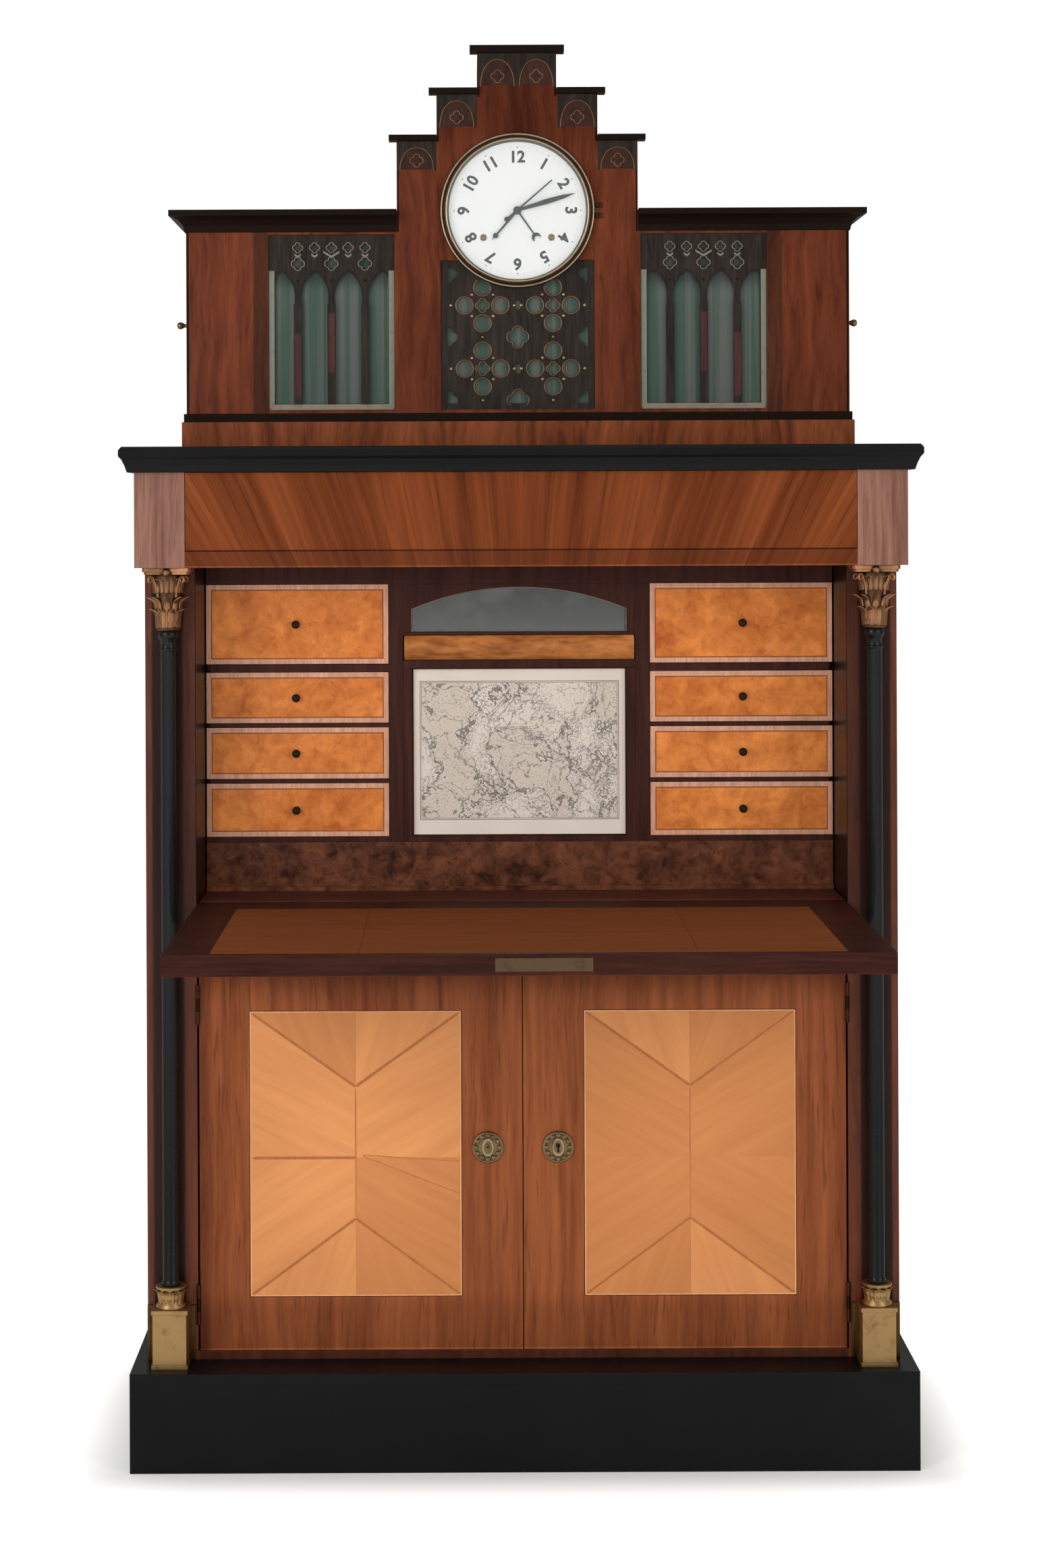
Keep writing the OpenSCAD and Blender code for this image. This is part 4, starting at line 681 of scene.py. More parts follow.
class Finishes:
    """Every finish of the cabinet, made when first asked for."""

    ALL = {f.name: f for f in (
        StainFinish("black_stain", (0.0034, 0.0036, 0.0038), (0.03, 0.024, 0.02), shine=0.12),
        StainFinish("black_columns", (0.0045, 0.0052, 0.005), (0.02, 0.018, 0.014), 0.26, 0.0006, 0.22),
        StainFinish("dark_line", (0.012, 0.006, 0.004), (0.03, 0.015, 0.01), 0.4, 0.0003),
        StainFinish("black_caps", (0.006, 0.0032, 0.0022), (0.035, 0.017, 0.012), 0.45, 0.001, 0.04),
        WoodFinish("door_mahogany", (0.145, 0.034, 0.010), (0.360, 0.108, 0.037), streak=0.014, length=0.30,
                   warp=0.02, dim=0.42, contrast=(0.32, 0.70), shine=0.10, coat=0.0,
                   # Painted light on the frame: the fall's shadow across the top rail, a highlight along the
                   # door's lower edge and the shadow of the gap beside the outer stile; the lower rail is
                   # darker too
                   patches=(Patch(WHOLE, (0.71, 0.80), (0.44, 0.35, 0.24), 0.035),
                            Patch(WHOLE, (0.10, 0.235), (0.80, 0.77, 0.72), 0.02),
                            Patch(WHOLE, (0.158, 0.1638), (1.4, 1.5, 1.6)),
                            Patch((0.468, 0.60), (0.1, 0.8), (0.62, 0.56, 0.52), 0.02))),
        WoodFinish("side_mahogany", (0.040, 0.011, 0.006), (0.082, 0.023, 0.012), streak=0.010, length=0.3,
                   warp=0.03, seed=3.0,
                   # Painted light on the posts: the column's shadow on the post face, shade on the niche's
                   # inner wall, a lit band on the post's inner edge at door level below the fall's shadow,
                   # and a highlight on the outer edge
                   patches=(Patch((0.509, 0.556), (0.0, 1.4), (0.30, 0.30, 0.32), 0.003),
                            Patch((0.486, 0.4912), (0.83, 1.345), (0.16, 0.12, 0.13)),
                            Patch((0.488, 0.509), (0.1, 0.80), (1.9, 1.7, 1.4), 0.002),
                            Patch((0.556, 0.60), (0.1, 1.4), (1.8, 1.8, 1.8), 0.002))),
        WoodFinish("frieze_fan", (0.080, 0.016, 0.004), (0.236, 0.060, 0.016), Grain.FAN, streak=0.015,
                   length=0.35, warp=0.02, seed=1.0, contrast=(0.31, 0.70), shine=0.06, coat=0.0,
                   patches=(Patch(WHOLE, (1.3, 1.3665), (0.35, 0.33, 0.32), 0.0006),)),
        # The corner blocks' pale pinkish tone is a painted sheen of reflected light
        WoodFinish("frieze_corner_sheen", (0.15, 0.062, 0.040), (0.30, 0.150, 0.106), streak=0.008, length=0.2,
                   seed=6.0),
        WoodFinish("frieze_rail", (0.072, 0.016, 0.005), (0.165, 0.041, 0.012), Grain.FAN, streak=0.015,
                   length=0.35, warp=0.02, seed=1.0, contrast=(0.31, 0.70), shine=0.06, coat=0.0,
                   # A painted highlight along the rail's lower edge
                   patches=(Patch(WHOLE, (1.339, 1.3425), (1.7, 1.8, 1.9)),)),
        WoodFinish("case_mahogany", (0.060, 0.012, 0.004), (0.165, 0.039, 0.015), streak=0.013, length=0.2,
                   warp=0.05, seed=5.0, shine=0.10, coat=0.0,
                   patches=(Patch((0.5128, 0.5163), (1.577, 1.87), SEAM),
                            Patch((0.1848, 0.1873), (1.86, 2.01), SEAM),
                            Patch((0.1223, 0.1249), (2.00, 2.08), SEAM),
                            Patch((0.0582, 0.0609), (2.07, 2.14), SEAM),
                            Patch((0.3895, 0.4125), (1.577, 1.87), (0.55, 0.66, 0.80), 0.001),
                            Patch(WHOLE, (1.50, 1.5636), (1.6, 1.85, 1.7)),
                            Patch(WHOLE, (2.0, 2.2), (0.72, 0.68, 0.66), 0.03))),
        WoodFinish("stage_heads", (0.022, 0.010, 0.007), (0.050, 0.020, 0.013), streak=0.006, length=0.02,
                   warp=0.05, seed=9.0, edge=0.0004),
        # Lit and shaded copies of one satin veneer, each with a painted sheen in the middle of the panel
        WoodFinish("satin_veneer", (0.54, 0.206, 0.068), (0.71, 0.296, 0.103), Grain.SHEET, streak=0.016,
                   length=0.22, warp=0.02, dim=0.03, edge=0.0003, contrast=(0.25, 0.75),
                   patches=(Patch((0.13, 0.35), (0.34, 0.58), (1.12, 1.13, 1.14), 0.08),)),
        WoodFinish("satin_shaded", (0.46, 0.166, 0.052), (0.60, 0.236, 0.078), Grain.SHEET, streak=0.016,
                   length=0.22, warp=0.02, dim=0.03, edge=0.0003, seed=22.0, contrast=(0.25, 0.75),
                   patches=(Patch((0.13, 0.35), (0.34, 0.58), (1.10, 1.11, 1.12), 0.08),)),
        WoodFinish("veneer_shade", (0.44, 0.152, 0.046), (0.56, 0.208, 0.066), streak=0.006,
                   edge=0.0002, seed=23.0),
        WoodFinish("veneer_joint", (0.31, 0.100, 0.031), (0.43, 0.150, 0.047), streak=0.006,
                   edge=0.0002, seed=24.0),
        WoodFinish("pale_stringing", (0.66, 0.30, 0.13), (0.84, 0.44, 0.21), streak=0.006,
                   edge=0.0002, seed=25.0),
        WoodFinish("amber_burl", (0.42, 0.098, 0.014), (0.84, 0.275, 0.060), Grain.BURL, streak=0.024,
                   warp=0.06, dim=0.16, edge=0.0004, seed=2.0, contrast=(0.32, 0.66),
                   patches=(Patch((0.40, 0.47), (1.26, 1.36), (0.90, 0.86, 0.84), 0.02),
                            Patch((0.17, 0.25), (1.13, 1.25), (0.92, 0.86, 0.80), 0.02))),
        WoodFinish("amber_sides", (0.40, 0.14, 0.04), (0.62, 0.24, 0.08), Grain.DEEP, streak=0.006, seed=11.0,
                   coat=0.0, rough=0.5, knob_colour=(0.02, 0.008, 0.005)),
        WoodFinish("drawer_band", (0.50, 0.24, 0.15), (0.74, 0.40, 0.27), streak=0.003, length=0.03, dim=0.2,
                   edge=0.0003, seed=12.0),
        WoodFinish("burl_line", (0.20, 0.055, 0.014), (0.32, 0.095, 0.026), streak=0.003, length=0.03,
                   dim=0.2, edge=0.0003, seed=27.0),
        WoodFinish("walnut_front", (0.24, 0.070, 0.016), (0.66, 0.245, 0.068), Grain.ACROSS, streak=0.014,
                   length=0.05, warp=0.05, seed=13.0),
        WoodFinish("nest_mahogany", (0.030, 0.009, 0.007), (0.062, 0.019, 0.013), streak=0.007, length=0.2,
                   seed=14.0, shine=0.08),
        WoodFinish("apron_burl", (0.028, 0.008, 0.004), (0.19, 0.060, 0.027), Grain.BURL, streak=0.020,
                   warp=0.05, seed=15.0, dim=0.5),
        WoodFinish("deck_mahogany", (0.058, 0.016, 0.011), (0.122, 0.036, 0.025), Grain.ACROSS, streak=0.008,
                   seed=16.0, shine=0.05, coat=0.0),
        WoodFinish("fall_moulding", (0.024, 0.007, 0.005), (0.054, 0.016, 0.010), Grain.ACROSS, streak=0.006,
                   seed=28.0, shine=0.05, coat=0.0,
                   # A painted highlight on the lower band of the fall's front edge
                   patches=(Patch(WHOLE, (0.79, 0.8044), (2.8, 2.6, 2.2), 0.0003),)),
        WoodFinish("writing_veneer", (0.140, 0.041, 0.014), (0.218, 0.069, 0.026), Grain.ACROSS, streak=0.016,
                   length=0.25, seed=17.0, rough=0.6, shine=0.0, coat=0.0, contrast=(0.15, 0.9),
                   patches=(Patch((0.225, 0.2275), (0.7, 0.9), (0.85, 0.8, 0.78), 0.0008),)),
        WoodFinish("plain_pine", (0.24, 0.13, 0.06), (0.42, 0.25, 0.13), streak=0.011, length=0.5, coat=0.0,
                   rough=0.7, seed=18.0),
        WoodFinish("tracery_wood", (0.014, 0.011, 0.009), (0.036, 0.027, 0.022), streak=0.004, length=0.05,
                   edge=0.0006, seed=19.0, dim=0.2, shine=0.08),
        WoodFinish("red_mullion", (0.040, 0.014, 0.013), (0.080, 0.027, 0.026), streak=0.003, length=0.1,
                   seed=20.0),
        MetalFinish("fire_gilt", (0.50, 0.315, 0.135), (0.07, 0.035, 0.013), 0.42),
        MetalFinish("plate_gilt", (0.155, 0.085, 0.030), (0.05, 0.025, 0.010), 0.45),
        MetalFinish("dull_gilt", (0.44, 0.220, 0.110), (0.030, 0.013, 0.006), 0.45),
        MetalFinish("bezel_gilt", (0.80, 0.68, 0.50), (0.13, 0.08, 0.04), 0.34),
        # Dark gilt for the bezel's mouldings and hinge leaf and for the capital bells: painted shade in the
        # bezel's grooves and behind the capitals' leaves
        MetalFinish("bezel_groove", (0.15, 0.085, 0.045), (0.02, 0.012, 0.008), 0.5),
        MetalFinish("pale_brass", (0.19, 0.20, 0.15), (0.08, 0.075, 0.05), 0.5, metallic=0.3),
        MetalFinish("silver_bead", (0.27, 0.22, 0.17), (0.07, 0.05, 0.04), 0.45, metallic=0.5),
        MetalFinish("aged_brass", (0.28, 0.19, 0.095), (0.035, 0.02, 0.010), 0.42,
                    patches=(Patch((0.40, 0.60), (0.0, 1.0), (0.12, 0.09, 0.08)),)),
        MetalFinish("pale_key_brass", (0.52, 0.40, 0.25), (0.08, 0.05, 0.025), 0.4),
        MetalFinish("lock_brass", (0.15, 0.095, 0.058), (0.04, 0.022, 0.012), 0.5),
        MetalFinish("clock_brass", (0.68, 0.49, 0.22), (0.20, 0.12, 0.04), 0.28, brushed=True),
        MetalFinish("dark_steel", (0.30, 0.31, 0.31), (0.06, 0.06, 0.06), 0.26, brushed=True),
        MetalFinish("blued_steel", (0.035, 0.038, 0.048), (0.01, 0.01, 0.014), 0.3, edge=0.0002),
        MetalFinish("hinge_bronze", (0.10, 0.040, 0.018), (0.02, 0.01, 0.006), 0.5),
        EnamelFinish(),
        ClearFinish("dial_crystal"),
        ClearFinish("old_mirror", True),
        PrintFinish(),
        SilkFinish(),
    )}

    def __init__(self) -> None:
        """Starts with nothing made."""
        self.made: dict[str, bpy.types.Material] = {}

    def __getitem__(self, name: str) -> bpy.types.Material:
        """Gives a material by the name of its finish.

        Args:
            name: The finish.

        Returns:
            The material.
        """
        if name not in self.made:
            self.made[name] = self.ALL[name].make()
        return self.made[name]


# Mesh building


class Piece:
    """Collects faces and turns them into one finished object."""

    def __init__(self, name: str, finishes: Finishes) -> None:
        """Starts an empty piece.

        Args:
            name: The object's name.
            finishes: Where its materials come from.
        """
        self.name = name
        self.finishes = finishes
        self.bm = bmesh.new()
        self.uv = self.bm.loops.layers.uv.new("UVMap")
        self.slots: list[str] = []

    def slot(self, finish: str) -> int:
        """Gives the material index of a finish.

        Args:
            finish: The finish.

        Returns:
            Its index on this piece.
        """
        if finish not in self.slots:
            self.slots.append(finish)
        return self.slots.index(finish)

    def face(self, verts: Sequence[bmesh.types.BMVert], finish: str, smooth: bool = False,
             uvs: Sequence[Flat] | None = None) -> None:
        """Adds one face.

        Args:
            verts: Its corners.
            finish: Its finish.
            smooth: Whether it is shaded smooth.
            uvs: A place on the sheet for each corner.
        """
        made = self.bm.faces.new(verts)
        made.material_index = self.slot(finish)
        made.smooth = smooth
        if uvs is not None:
            for loop, uv in zip(made.loops, uvs):
                loop[self.uv].uv = uv

    def block(self, low: Point, high: Point, finish: str) -> None:
        """Adds a box between its lowest and its highest corner."""
        outline = [(low[0], low[2]), (high[0], low[2]), (high[0], high[2]), (low[0], high[2])]
        self.prism(outline, low[1], high[1], finish)

    def prism(self, outline: Sequence[Flat], front: float, back: float, finish: str,
              along: Flat | None = None) -> None:
        """Adds an outline in X and Z with a thickness in Y.

        Args:
            outline: Its corners in order.
            front: Y of its front.
            back: Y of its back.
            finish: Its finish.
            along: Direction of the grain on the sheet.
        """
        ahead = [self.bm.verts.new((x, front, z)) for x, z in outline]
        behind = [self.bm.verts.new((x, back, z)) for x, z in outline]
        uvs = None
        if along is not None:
            size = math.hypot(*along)
            dx, dz = along[0] / size, along[1] / size
            uvs = [(x * dx + z * dz, -x * dz + z * dx) for x, z in outline]
        self.face(ahead, finish, uvs=uvs)
        self.face(behind[::-1], finish)
        count = len(outline)
        for i in range(count):
            j = (i + 1) % count
            self.face([ahead[i], behind[i], behind[j], ahead[j]], finish)

    def lathe(self, profile: Sequence[Flat], centre: Point, finish: str, axis: Axis = Axis.UP,
              segments: int = 64, smooth: bool = True) -> None:
        """Turns a profile of radius and height round an axis.

        Args:
            profile: Radius and height of each step; a closed profile gives a ring.
            centre: Where the axis starts.
            finish: Its finish.
            axis: Its direction.
            segments: Steps round the axis.
            smooth: Whether it is shaded smooth.
        """
        rings = []
        for radius, height in profile:
            steps = segments if radius > NOTHING else 1
            rings.append([self.bm.verts.new(axis.spot(centre, radius, height, math.tau * i / segments))
                          for i in range(steps)])
        for low, high in zip(rings, rings[1:]):
            for i in range(segments):
                j = (i + 1) % segments
                corners = [low[i % len(low)], low[j % len(low)], high[j % len(high)], high[i % len(high)]]
                kept = list(dict.fromkeys(corners))
                if len(kept) > 2:
                    self.face(kept, finish, smooth)

    def grid(self, rows: Sequence[Sequence[Point]], finish: str, smooth: bool = True,
             uvs: Sequence[Sequence[Flat]] | None = None) -> None:
        """Adds a sheet of quads.

        Args:
            rows: Rows of points.
            finish: Its finish.
            smooth: Whether it is shaded smooth.
            uvs: A place on the sheet for each point.
        """
        made = [[self.bm.verts.new(p) for p in row] for row in rows]
        for i in range(len(made) - 1):
            for j in range(len(made[0]) - 1):
                spots = [(i, j), (i, j + 1), (i + 1, j + 1), (i + 1, j)]
                places = [uvs[a][b] for a, b in spots] if uvs else None
                self.face([made[a][b] for a, b in spots], finish, smooth, places)

    def take(self, mesh: bpy.types.Mesh, finish: str, smooth: bool = False) -> None:
        """Adds a ready mesh.

        Args:
            mesh: The mesh.
            finish: Its finish.
            smooth: Whether it is shaded smooth.
        """
        index = self.slot(finish)
        before = len(self.bm.faces)
        self.bm.from_mesh(mesh)
        self.bm.faces.ensure_lookup_table()
        for made in self.bm.faces[before:]:
            made.material_index = index
            made.smooth = smooth

    def finish(self, body: str, slot: str, replaces: Sequence[str] = (), bevel: float = 0.0,
               outward: bool = True) -> bpy.types.Object:
        """Makes the object and lets it ride on a body.

        Args:
            body: The body it rides on.
            slot: Not used.
            replaces: CAD nodes it stands for.
            bevel: Width of its eased edges.
            outward: Whether its normals are turned outward.

        Returns:
            The object.
        """
        if outward:
            bmesh.ops.recalc_face_normals(self.bm, faces=self.bm.faces)
        mesh = bpy.data.meshes.new(self.name)
        self.bm.to_mesh(mesh)
        self.bm.free()
        for name in self.slots:
            mesh.materials.append(self.finishes[name])
        made = placed(self.name, mesh)
        if bevel > 0.0:
            ease = made.modifiers.new("eased_edges", "BEVEL")
            ease.width = bevel
            ease.segments = 2
            ease.limit_method = "ANGLE"
            ease.angle_limit = math.radians(50)
            eased = plain_mesh(made)
            made.modifiers.clear()
            made.data = eased
        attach(made, body)
        if replaces:
            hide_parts(*replaces)
        LOG.info("%s rides on %s with %d faces", self.name, body, len(made.data.polygons))
        return made


def placed(name: str, data: bpy.types.ID) -> bpy.types.Object:
    """Makes an object and puts it in the scene.

    Args:
        name: Its name.
        data: Its mesh, text, light or camera.

    Returns:
        The object.
    """
    made = bpy.data.objects.new(name, data)
    bpy.context.scene.collection.objects.link(made)
    return made


def plain_mesh(made: bpy.types.Object) -> bpy.types.Mesh:
    """Gives an object's final shape as a new mesh."""
    bpy.context.view_layer.update()
    return bpy.data.meshes.new_from_object(made.evaluated_get(bpy.context.evaluated_depsgraph_get()))


# Geometry Nodes


class Forge:
    """Node trees for what repeats round a centre or follows a line."""

    def __init__(self) -> None:
        """Builds both trees."""
        self.ring_tree = self._ring_of_copies()
        self.bead_tree = self._bead_on_lines()

    @staticmethod
    def _start(name: str, inputs: Sequence[tuple[str, str, object]]
               ) -> tuple[Graph, bpy.types.Node, bpy.types.Node]:
        """Opens a tree with a Geometry input and output.

        Args:
            name: The tree's name.
            inputs: Name, socket kind and first value of its other inputs.

        Returns:
            Its graph, its input node and its output node.
        """
        tree = bpy.data.node_groups.new(name, "GeometryNodeTree")
        shape = "NodeSocketGeometry"
        return Graph(tree), *sockets(tree, [("Geometry", shape, None), *inputs], [("Geometry", shape)])

    def _ring_of_copies(self) -> bpy.types.NodeTree:
        """Builds the tree that copies a piece round the Z axis, turned with the ring.

        Returns:
            The tree.
        """
        g, start, end = self._start("ring_of_copies", [
            ("Count", "NodeSocketInt", 8), ("Radius", NUMBER, 0.02), ("Finish", "NodeSocketMaterial", None)])
        circle = g.node("GeometryNodeMeshCircle", {"Vertices": start.outputs["Count"],
                                                   "Radius": start.outputs["Radius"]})
        where = g.node("GeometryNodeInputPosition").outputs[0]
        turn = g.node("FunctionNodeAlignRotationToVector", {"Vector": where}, axis="X", pivot_axis="Z")
        copies = g.node("GeometryNodeInstanceOnPoints", {
            "Points": circle.outputs["Mesh"], "Instance": start.outputs["Geometry"],
            "Rotation": turn.outputs["Rotation"]})
        return self._end(g, copies.outputs["Instances"], start, end)

    def _bead_on_lines(self) -> bpy.types.NodeTree:
        """Builds the tree that draws a round bead along loose edges.

        Returns:
            The tree.
        """
        g, start, end = self._start("bead_on_lines", [
            ("Bead", NUMBER, 0.001), ("Sides", "NodeSocketInt", 8), ("Finish", "NodeSocketMaterial", None)])
        lines = g.node("GeometryNodeMeshToCurve", {"Mesh": start.outputs["Geometry"]})
        section = g.node("GeometryNodeCurvePrimitiveCircle", {"Resolution": start.outputs["Sides"],
                                                              "Radius": start.outputs["Bead"]})
        solid = g.node("GeometryNodeCurveToMesh", {"Curve": lines.outputs["Curve"], "Fill Caps": True,
                                                   "Profile Curve": section.outputs["Curve"]})
        return self._end(g, solid.outputs["Mesh"], start, end)

    @staticmethod
    def _end(g: Graph, shape: bpy.types.NodeSocket, start: bpy.types.Node,
             end: bpy.types.Node) -> bpy.types.NodeTree:
        """Realizes the copies, gives them their finish and closes a tree.

        Args:
            g: The tree's graph.
            shape: The geometry so far.
            start: The tree's input node.
            end: Its output node.

        Returns:
            The finished tree.
        """
        real = g.node("GeometryNodeRealizeInstances", {"Geometry": shape})
        dress = g.node("GeometryNodeSetMaterial", {"Geometry": real.outputs["Geometry"],
                                                   "Material": start.outputs["Finish"]})
        g.feed(end.inputs["Geometry"], dress.outputs["Geometry"])
        return g.tree

    @staticmethod
    def run(tree: bpy.types.NodeTree, mesh: bpy.types.Mesh, **values: object) -> bpy.types.Mesh:
        """Runs a tree on a mesh.

        Args:
            tree: The tree.
            mesh: What it works on.
            values: Its inputs by name.

        Returns:
            The plain resulting mesh.
        """
        carrier = placed("forge", mesh)
        work = carrier.modifiers.new("work", "NODES")
        work.node_group = tree
        for item in tree.interface.items_tree:
            if item.item_type == "SOCKET" and item.in_out == "INPUT" and item.name in values:
                work[item.identifier] = values[item.name]
        result = plain_mesh(carrier)
        bpy.data.objects.remove(carrier)
        return result

    def ring(self, mesh: bpy.types.Mesh, count: int, radius: float, finish: bpy.types.Material,
             centre: Point, axis: Axis = Axis.UP, turn: float = 0.0) -> bpy.types.Mesh:
        """Places a ring of copies round a centre.

        Args:
            mesh: One copy, looking outward along X with its foot at the origin.
            count: How many.
            radius: Distance of each from the axis.
            finish: Their material.
            centre: The middle of the ring.
            axis: UP or FRONT.
            turn: How far the ring is turned, in radians.

        Returns:
            The ring's mesh.
        """
        made = self.run(self.ring_tree, mesh, Count=count, Radius=radius, Finish=finish)
        made.transform(Matrix.Rotation(turn, 4, "Z"))
        if axis is Axis.FRONT:
            made.transform(Matrix.Rotation(math.pi / 2, 4, "X"))
        made.transform(Matrix.Translation(centre))
        return made

    def bead(self, lines: Iterable[Sequence[Point]], radius: float, finish: bpy.types.Material,
             sides: int = 8) -> bpy.types.Mesh:
        """Draws beads along lines of points.

        Args:
            lines: The lines; one whose ends meet becomes a ring.
            radius: Radius of the bead.
            finish: Its material.
            sides: Faces round it.

        Returns:
            The beads' mesh.
        """
        points: list[Point] = []
        edges: list[tuple[int, int]] = []
        for line in lines:
            closed = math.dist(line[0], line[-1]) < NOTHING
            base, count = len(points), len(line) - closed
            points.extend(line[:count])
            edges.extend((base + i, base + i + 1) for i in range(count - 1))
            if closed:
                edges.append((base + count - 1, base))
        mesh = bpy.data.meshes.new("lines")
        mesh.from_pydata(points, edges, [])
        return self.run(self.bead_tree, mesh, Bead=radius, Sides=sides, Finish=finish)


def drop_mesh(size: float, flat: float = 0.6) -> bpy.types.Mesh:
    """Makes a small rounded bead.

    Args:
        size: Its radius.
        flat: How thick it is for its width.

    Returns:
        Its mesh.
    """
    bm = bmesh.new()
    bmesh.ops.create_icosphere(bm, subdivisions=2, radius=size)
    for made in bm.faces:
        made.smooth = True
    bmesh.ops.scale(bm, vec=(1.0, 1.0, flat), verts=bm.verts)
    mesh = bpy.data.meshes.new("drop")
    bm.to_mesh(mesh)
    bm.free()
    return mesh


@dataclass(frozen=True)
class Leaf:
    """A lobed leaf that stands up and curls out at its tip."""

    height: float
    width: float
    flare: float
    curl: float
    lobes: int = 3
    thickness: float = 0.0012

    def mesh(self) -> bpy.types.Mesh:
        """Builds one leaf whose foot is at the origin and whose face looks along X.

        Returns:
            Its mesh.
        """
        rows, columns = 16, 7
        tip, taper = 0.32, 0.2
        grid: list[list[Vector]] = []
        for v in (i / rows for i in range(rows + 1)):
            bend = max(0.0, v - (1.0 - tip)) / tip
            out = self.flare * v * v + self.curl * math.sin(bend * math.pi * 0.62)
            up = self.height * (v - tip * bend * bend * 0.55)
            lobe = 1.0 + 0.16 * math.cos(v * math.tau * self.lobes)
            half = 0.5 * self.width * lobe * (0.72 + 0.5 * math.sin(math.pi * min(1.0, v * 1.05)))
            half *= 1.0 - 0.75 * max(0.0, (v - (1.0 - taper)) / taper) ** 2
            row = []
            for u in (2.0 * j / (columns - 1) - 1.0 for j in range(columns)):
                rib = 0.0016 * (1.0 - abs(u)) ** 2 + 0.0008 * math.cos(u * math.pi * 3.0)
                row.append(Vector((out + rib - 0.10 * self.width * u * u, u * half, up)))
            grid.append(row)
        bm = bmesh.new()
        front = [[bm.verts.new(p) for p in row] for row in grid]
        back = [[bm.verts.new(p - Vector((self.thickness, 0.0, 0.0))) for p in row] for row in grid]
        for i in range(rows):
            for j in range(columns - 1):
                bm.faces.new((front[i][j], front[i][j + 1], front[i + 1][j + 1], front[i + 1][j]))
                bm.faces.new((back[i][j], back[i + 1][j], back[i + 1][j + 1], back[i][j + 1]))
        rim = ([(0, j) for j in range(columns)] + [(i, columns - 1) for i in range(1, rows + 1)]
               + [(rows, j) for j in range(columns - 2, -1, -1)] + [(i, 0) for i in range(rows - 1, 0, -1)])
        for (a, b), (c, d) in zip(rim, rim[1:] + rim[:1]):
            bm.faces.new((front[a][b], back[a][b], back[c][d], front[c][d]))
        for made in bm.faces:
            made.smooth = True
        bmesh.ops.recalc_face_normals(bm, faces=bm.faces)
        mesh = bpy.data.meshes.new("leaf")
        bm.to_mesh(mesh)
        bm.free()
        return mesh


# Sub-assemblies


@dataclass
class Workshop:
    """What every sub-assembly needs: the frame, the finishes and the forge."""

    nodes: dict[str, bpy.types.Object]
    finishes: Finishes
    forge: Forge

    def dress(self, **finishes: str) -> None:
        """Gives CAD nodes their materials.

        Args:
            finishes: The finish by the name of the node.
        """
        for node, finish in finishes.items():
            data = self.nodes[node].data
            data.materials.clear()
            data.materials.append(self.finishes[finish])

    def piece(self, name: str) -> Piece:
        """Starts an empty piece of a name."""
        return Piece(name, self.finishes)

    def bead(self, piece: Piece, lines: Iterable[Sequence[Point]], radius: float, finish: str,
             sides: int = 8) -> None:
        """Adds beads along lines to a piece, as Forge.bead draws them."""
        piece.take(self.forge.bead(lines, radius, self.finishes[finish], sides), finish, True)

    def ring(self, piece: Piece, mesh: bpy.types.Mesh, count: int, radius: float, finish: str, centre: Point,
             axis: Axis = Axis.UP, turn: float = 0.0) -> None:
        """Adds a ring of copies to a piece, as Forge.ring places them."""
        made = self.forge.ring(mesh, count, radius, self.finishes[finish], centre, axis, turn)
        piece.take(made, finish, True)


@dataclass
class Carcass:
    """Plinth, sides, rails, frieze with its drawer, cornice and back."""

    shop: Workshop
    back_boards: int = 9
    back_seam: float = 0.0012

    def build(self) -> None:
        """Gives the boards their woods and builds the boarded back."""
        self.shop.dress(plinth="black_stain", cupboard_floor="side_mahogany", left_side="side_mahogany",
                        right_side="side_mahogany", middle_rail="deck_mahogany", writing_deck="deck_mahogany",
                        cupboard_shelf="plain_pine", frieze_ends="frieze_corner_sheen", frieze_rail="frieze_rail",
                        frieze_drawer="frieze_fan", cornice="black_stain", carcass_fittings="hinge_bronze")
        low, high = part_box("back_panel")
        piece = self.shop.piece("back_boards")
        pitch = (high.x - low.x) / self.back_boards
        for i in range(self.back_boards):
            x = low.x + i * pitch
            left, right = x + self.back_seam / 2, x + pitch - self.back_seam / 2
            piece.block((left, low.y, low.z), (right, high.y, high.z), "plain_pine")
        piece.finish("carcass", "secondary_wood", ["back_panel"], bevel=0.0015)


